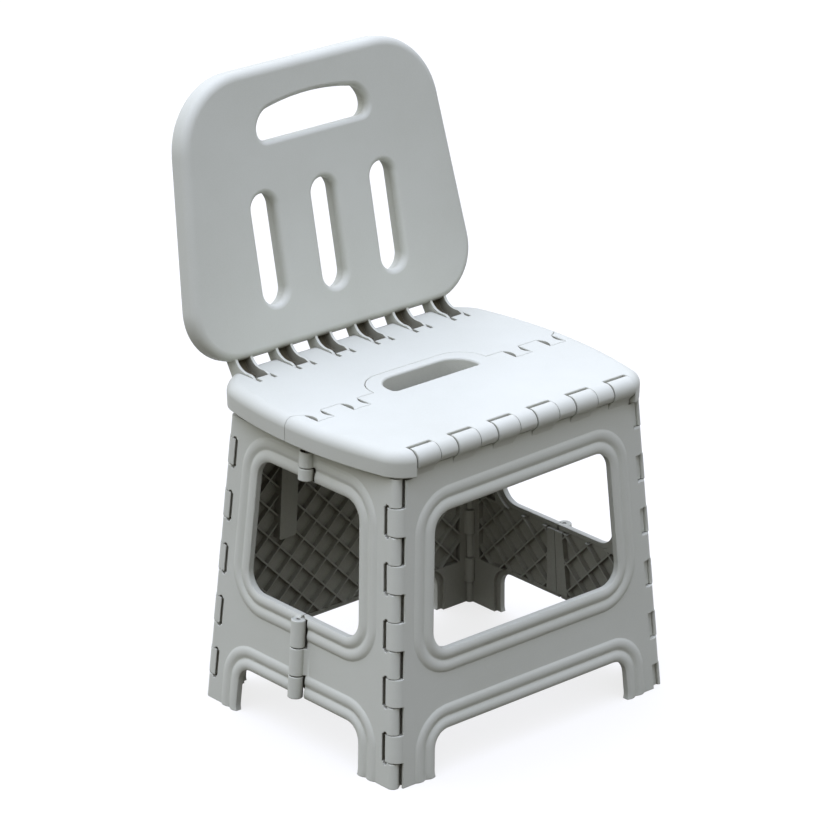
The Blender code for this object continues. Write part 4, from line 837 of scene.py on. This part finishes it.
def seat_rear():
    """Rear seat half: tabs with hollow flanks, arm slots, cells and lugs below."""
    ob = seat_blank("seat_rear_moulding")
    cut(ob, [seam_tool(-1)])
    cut(ob, flank_bites())
    half = 0.5 * ARM_W + GAP
    inner = half - CHEEK_T - 2.0 * GAP
    slit, well, rear = REAR_AXIS_Y - ARM_SLIT, REAR_AXIS_Y - ARM_WELL, REAR_AXIS_Y + 0.06
    fork = np.array([(-half, rear), (-half, slit), (-inner, slit), (-inner, well),
                     (inner, well), (inner, slit), (half, slit), (half, rear)])
    cut(ob, [carried(fork + (x, 0.0), (WIDE, SEAT_TOP + PAST), level_frame) for x in HINGE_X])
    cut(ob, [carried(SEAT_UNDER + (REAR_AXIS_Y, AXIS_Z), (-WIDE, WIDE), across_frame)])
    front, rear = CENTRE_Y + TAB_OUT + CELL_TAB, REAR_AXIS_Y - CELL_REAR
    wide, cell, mid = SEAT_HALF_W - SEAT_WALL, RING_HALF + CELL_RIM, RING_HALF + 0.001
    cut(ob, seat_cells(cell, wide, front, rear, (-mid, mid, CENTRE_Y + RING_REAR + CELL_TAB, rear, 4, 1)))
    t0, t1, t2, _ = TABS
    add(ob, centre_lugs([(t0, t1), (t2, LUG_END)]))
    cut(ob, centre_rooms([(t1, t2)]))
    return cut(ob, [cross_bore(REAR_AXIS_Y, AXIS_Z, REAR_BORE), cross_bore(CENTRE_Y, CENTRE_Z, FOOT_HALF_X)])


def back_outline(inset):
    """Backrest plate drawn inset: rounded trapezoid, wider at the bottom."""
    k = (BACK_HALF_LOW - BACK_HALF_HIGH) / (BACK_HIGH - BACK_LOW)
    low, high = BACK_LOW + inset, BACK_HIGH - inset
    wide, narrow = BACK_HALF_LOW - inset - k * inset, BACK_HALF_HIGH - inset + k * inset
    return arcs([(-wide, low), (wide, low), (narrow, high), (-narrow, high)],
                np.array([BACK_R_LOW, BACK_R_LOW, BACK_R_HIGH, BACK_R_HIGH]) - inset, 18)


def back_slot(middle, grow):
    """Upright slot with round ends, grown outwards by a distance."""
    w = SLOT_HALF + grow
    return arcs(rectangle(middle - w, middle + w, SLOT_LOW - grow, SLOT_HIGH + grow), w - SLOT_FLAT, 12)


def back_handle(grow):
    """Handle opening: rounded rectangle whose upper edge rises in a parabola towards the middle."""
    w, low, high = HANDLE_HALF + grow, HANDLE_LOW - grow, HANDLE_END + grow
    radius, upper = HANDLE_R + grow, 1.5 * HANDLE_R + grow
    turns = arcs(rectangle(-w, w, low, high), [radius, radius, upper, upper], 10).reshape(4, 11, 2)
    top = np.linspace(turns[2, -1], turns[3, 0], 24)[1:-1]
    p, q = np.concatenate([turns[0], turns[1], turns[2], top, turns[3]]).T
    share = np.clip((q - high + radius) / radius, 0.0, 1.0)
    return np.stack([p, q + (HANDLE_HIGH - HANDLE_END) * (1.0 - (p / w) ** 2) * share], -1)


def eased(points):
    """Corner cutting, twice over: two points on every side, a quarter in from both ends."""
    p = np.asarray(points, float)
    for _ in range(2):
        n = np.roll(p, -1, 0)
        p = np.stack([0.75 * p + 0.25 * n, 0.25 * p + 0.75 * n], 1).reshape(-1, 2)
    return p


def backrest():
    """Backrest: rounded plate with soft-mouthed slots and handle, cells behind, six channel arms below."""
    t = 0.5 * BACK_T
    steps = [(BACK_ROUND * i, BACK_ROUND * d - t) for i, d in quarter(10)[::-1]]
    steps += [(BACK_REAR_ROUND * i, t - BACK_REAR_ROUND * d) for i, d in quarter(4)]
    ob = mesh_piece("backrest_moulding", [skin([back_frame(*back_outline(i).T, r) for i, r in steps])])
    step = [(HOLE_STEP, -t - OVER), (HOLE_STEP, t - HOLE_BACK), (0.0, t - HOLE_BACK)]
    levels = step + mouth(0.0, t, HOLE_ROUND, 8)[1:]
    holes = [lambda g, m=m: back_slot(m * SLOT_PITCH, g) for m in (-1, 0, 1)] + [back_handle]
    cut(ob, [skin([back_frame(*hole(g).T, -z) for g, z in levels]) for hole in holes])
    cells = BACK_CELLS + [(-b, -a, c, d) for a, b, c, d in BACK_CELLS] + [BACK_MIDDLE]
    cut(ob, [carried(plan_box(*cell, CELL_ROUND, 0.0), (BACK_SKIN - t, t + OVER), back_frame) for cell in cells])
    hub = turn_arc(ARM_HUB_R, 90.0, 320.0, 26)
    cheek = eased(np.concatenate([hub, ARM_BACK, ARM_FRONT])) + (REAR_AXIS_Y, AXIS_Z)
    floor = eased(ARM_FLOOR) + (REAR_AXIS_Y, AXIS_Z)
    half = 0.5 * ARM_W
    add(ob, [carried(cheek, (x, x + CHEEK_T), across_frame) for c in HINGE_X for x in (c - half, c + half - CHEEK_T)])
    add(ob, [carried(floor, (c - half + 0.5 * CHEEK_T, c + half - 0.5 * CHEEK_T), across_frame) for c in HINGE_X])
    return cut(ob, [cross_bore(REAR_AXIS_Y, AXIS_Z, WIDE)])


def fit(ob, body, material):
    """Hand a finished moulding over: smooth shading up to the crease angle, its body, the node it stands for."""
    ob.data.materials.clear()
    ob.data.materials.append(material)
    ob.data.shade_smooth()
    ob.data.set_sharp_from_angle(angle=CREASE)
    ob.modifiers.new("even_shading", "WEIGHTED_NORMAL").keep_sharp = True
    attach(ob, body)
    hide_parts(body)


class Socket:
    """A shader value: operators add Math nodes, node() adds any other node."""

    def __init__(self, tree, link):
        self.tree = tree
        self.link = link

    def math(self, operation, a, b=None):
        return self.node("ShaderNodeMath", {"operation": operation}, [a] if b is None else [a, b])

    def node(self, kind, settings=None, inputs=None, out=0):
        """One node of a kind: its settings first, then the values or links of its sockets."""
        made = self.tree.nodes.new(kind)
        for key, value in (settings or {}).items():
            if key == "stops":
                ramp = made.color_ramp.elements
                while len(ramp) < len(value):
                    ramp.new(0.5)
                for stop, pair in zip(ramp, value):
                    stop.position, stop.color = pair
            else:
                setattr(made, key, value)
        feed(made, inputs if isinstance(inputs, dict) else dict(enumerate(inputs or [])))
        return Socket(self.tree, made.outputs[out])

    def parts(self):
        """X, Y and Z of this vector."""
        return [self.node("ShaderNodeSeparateXYZ", None, [self], axis) for axis in "XYZ"]

    def mix(self, low, high):
        """Colour between two colours, by this value."""
        return self.node("ShaderNodeMix", {"data_type": "RGBA"}, {0: self, 6: low, 7: high}, 2)

    def span(self, low, high):
        """This value carried from low..high to 0..1 and held there."""
        return self.node("ShaderNodeMapRange", None, {0: self, 1: low, 2: high, 3: 0.0, 4: 1.0})

    def __add__(self, other):
        return self.math("ADD", self, other)

    def __radd__(self, other):
        return self.math("ADD", other, self)

    def __sub__(self, other):
        return self.math("SUBTRACT", self, other)

    def __rsub__(self, other):
        return self.math("SUBTRACT", other, self)

    def __pow__(self, other):
        return self.math("POWER", self, other)

    def __mul__(self, other):
        return self.math("MULTIPLY", self, other)

    def __rmul__(self, other):
        return self.math("MULTIPLY", other, self)


def feed(node, inputs):
    """Give a node's sockets, by name or number, their values or links."""
    for key, value in inputs.items():
        if isinstance(value, Socket):
            value.tree.links.new(value.link, node.inputs[key])
        else:
            node.inputs[key].default_value = value


def solid(colour):
    """Colour with full alpha."""
    return (*colour, 1.0)


def open_material(name):
    """New material: its Principled node and a socket to start expressions from."""
    mat = bpy.data.materials.new(name)
    mat.use_nodes = True
    bsdf = mat.node_tree.nodes["Principled BSDF"]
    return mat, bsdf, Socket(mat.node_tree, None)


def moulded_shell():
    """Moulded polypropylene: cloudy grey, fine grain, edges rubbed pale, painted shade in recesses and the arms'
    channels.
    """
    mat, bsdf, start = open_material("moulded_shell")
    where = start.node("ShaderNodeTexCoord", out="Object")

    def noise(size, detail):
        return start.node("ShaderNodeTexNoise", None,
                          {"Vector": where, "Scale": 1.0 / size, "Detail": detail, "Roughness": 0.55})

    cloud = noise(CLOUD, 3.0)
    speck = noise(SPECK, 2.0)
    grain = noise(GRAIN, 2.0)
    scuff = noise(SCUFF, 6.0)
    round_normal = start.node("ShaderNodeBevel", {"samples": 6}, {"Radius": EDGE_SOFT})
    normals = [round_normal, start.node("ShaderNodeNewGeometry", out="Normal")]
    facing = start.node("ShaderNodeVectorMath", {"operation": "DOT_PRODUCT"}, normals, "Value")
    edge = (1.0 - facing).span(0.02, 0.22)
    tone = cloud.span(0.3, 0.7).mix(solid(SHELL_DULL), solid(SHELL_GREY))
    tone = (speck.span(0.35, 0.75) * 0.3).mix(tone, solid(SHELL_PALE))
    tone = (edge * scuff.span(0.4, 0.62) * 0.55).mix(tone, solid(SHELL_PALE))
    # painted shade: the base colour goes dark where ambient occlusion finds little open room, in recesses, gaps and
    # under the rim
    open_sky = start.node("ShaderNodeAmbientOcclusion", {"samples": 8}, {"Distance": PAINTED_SHADE_REACH}, "AO")
    tone = (1.0 - open_sky.span(PAINTED_SHADE_FULL, PAINTED_SHADE_NONE)).mix(tone, solid(PAINTED_SHADE))
    # painted shade: the base colour goes dark on the floors and inner faces of the backrest arms' channels
    x, y, z = where.parts()
    pitch, wall, well = HINGE_X[1] - HINGE_X[0], 0.5 * ARM_W - CHEEK_T, REAR_AXIS_Y - ARM_WELL
    aside = start.math("ABSOLUTE", start.math("FLOORED_MODULO", x + 3.0 * pitch, pitch) - 0.5 * pitch)
    within = (1.0 - aside.span(wall - GAP, wall + 0.5 * GAP)) * y.span(well, well + 0.1 * CHANNEL_FADE)
    height = z.span(AXIS_Z - CHANNEL_FADE, AXIS_Z)
    height = height * (1.0 - z.span(SEAT_TOP + 0.5 * CHANNEL_FADE, SEAT_TOP + CHANNEL_FADE))
    tone = (CHANNEL_PAINTED_SHADE * within * height).mix(tone, solid(PAINTED_SHADE))
    rough = 0.47 + 0.1 * cloud - 0.08 * edge
    bump = start.node("ShaderNodeBump", None,
                      {"Strength": 0.35, "Distance": GRAIN_DEPTH, "Height": grain, "Normal": round_normal})
    feed(bsdf, {"Base Color": tone, "Roughness": rough, "Normal": bump, "IOR": 1.49, "Specular IOR Level": 0.22})
    return mat


def shown_to_lens(start):
    """1 for what the lens sees, straight, mirrored or through; 0 for what only lights."""
    seen = [start.node("ShaderNodeLightPath", out="Is %s Ray" % kind) for kind in ("Camera", "Glossy", "Transmission")]
    return (seen[0] + seen[1] + seen[2]).span(0.0, 1.0)


def drawn_pin():
    """Drawn steel wire: grey metal, mottled finely."""
    mat, bsdf, start = open_material("drawn_pin")
    where = start.node("ShaderNodeTexCoord", out="Object")
    streak = start.node("ShaderNodeTexNoise", None, {"Vector": where, "Scale": 900.0, "Detail": 3.0})
    tone = streak.span(0.3, 0.7).mix(solid(PIN_STEEL), solid(PIN_DARK))
    feed(bsdf, {"Base Color": tone, "Roughness": 0.28 + 0.18 * streak, "Metallic": 1.0})
    return mat


def take_camera():
    """Long-lens camera at the picture's angle: turned by azimuth, elevation and roll, then set back."""
    data = bpy.data.cameras.new("camera")
    data.sensor_width = SENSOR
    data.lens = FOCAL_PIXELS / PICTURE * SENSOR
    camera = bpy.data.objects.new("camera", data)
    place = Matrix.Translation((0.0, MIDDLE_Y, 0.0))
    for angle, axis in ((CAMERA_AZIMUTH, "Z"), (0.5 * math.pi - CAMERA_ELEVATION, "X"), (CAMERA_ROLL, "Z")):
        place = place @ Matrix.Rotation(angle, 4, axis)
    camera.matrix_world = place @ Matrix.Translation((CAMERA_ACROSS, CAMERA_UP, CAMERA_AWAY))
    bpy.context.scene.collection.objects.link(camera)
    bpy.context.scene.camera = camera


def lay_floor():
    """Wide floor: white and shaded to the lens, dull in the light that it throws back."""
    half = 6.0
    mesh = bpy.data.meshes.new("floor")
    mesh.from_pydata([(x, y, 0.0) for x, y in rectangle(-half, half, -half, half)], [], [(0, 1, 2, 3)])
    floor = bpy.data.objects.new("floor", mesh)
    bpy.context.scene.collection.objects.link(floor)
    mat, bsdf, start = open_material("floor_white")
    shown = shown_to_lens(start)
    tone = shown.mix(solid(FLOOR_BOUNCE), solid(FLOOR_WHITE))
    glow = shown.mix(solid((0.0, 0.0, 0.0)), solid(FLOOR_GLOW))
    feed(bsdf, {"Base Color": tone, "Emission Color": glow, "Emission Strength": 1.0, "Roughness": 0.9,
                "Specular IOR Level": 0.0})
    mesh.materials.append(mat)


def light_studio():
    """Soft tent of light: brightest overhead, falling by a power of the height, with more from the left."""
    world = bpy.data.worlds.new("studio")
    world.use_nodes = True
    bpy.context.scene.world = world
    tree = world.node_tree
    start = Socket(tree, None)
    shown = shown_to_lens(start)
    x, y, z = start.node("ShaderNodeTexCoord", out="Generated").parts()
    height = z.span(0.0, 1.0)
    tent = TENT_TOP * height ** TENT_CURVE * (1.0 + LEFT_SHARE * (y - x))
    colour = height.mix(solid(TENT_LOW), solid(TENT_HIGH))
    colour = shown.mix(colour, solid((1.0, 1.0, 1.0)))
    feed(tree.nodes["Background"], {"Color": colour, "Strength": tent * (1.0 - shown) + shown})


shell = moulded_shell()
steel = drawn_pin()
for name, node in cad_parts.items():
    node.data.materials.clear()
    node.data.materials.append(steel if "pin" in name else shell)

for make in (front_leg, rear_leg, seat_front, seat_rear, backrest):
    fit(make(), make.__name__, shell)
for hand, sign in (("left", -1), ("right", 1)):
    for end in ("front", "rear"):
        half_name = "side_" + hand + "_" + end
        fit(side_half(half_name + "_moulding", sign, end == "front"), half_name, shell)

take_camera()
lay_floor()
light_studio()
bpy.context.scene.view_settings.view_transform = "Standard"
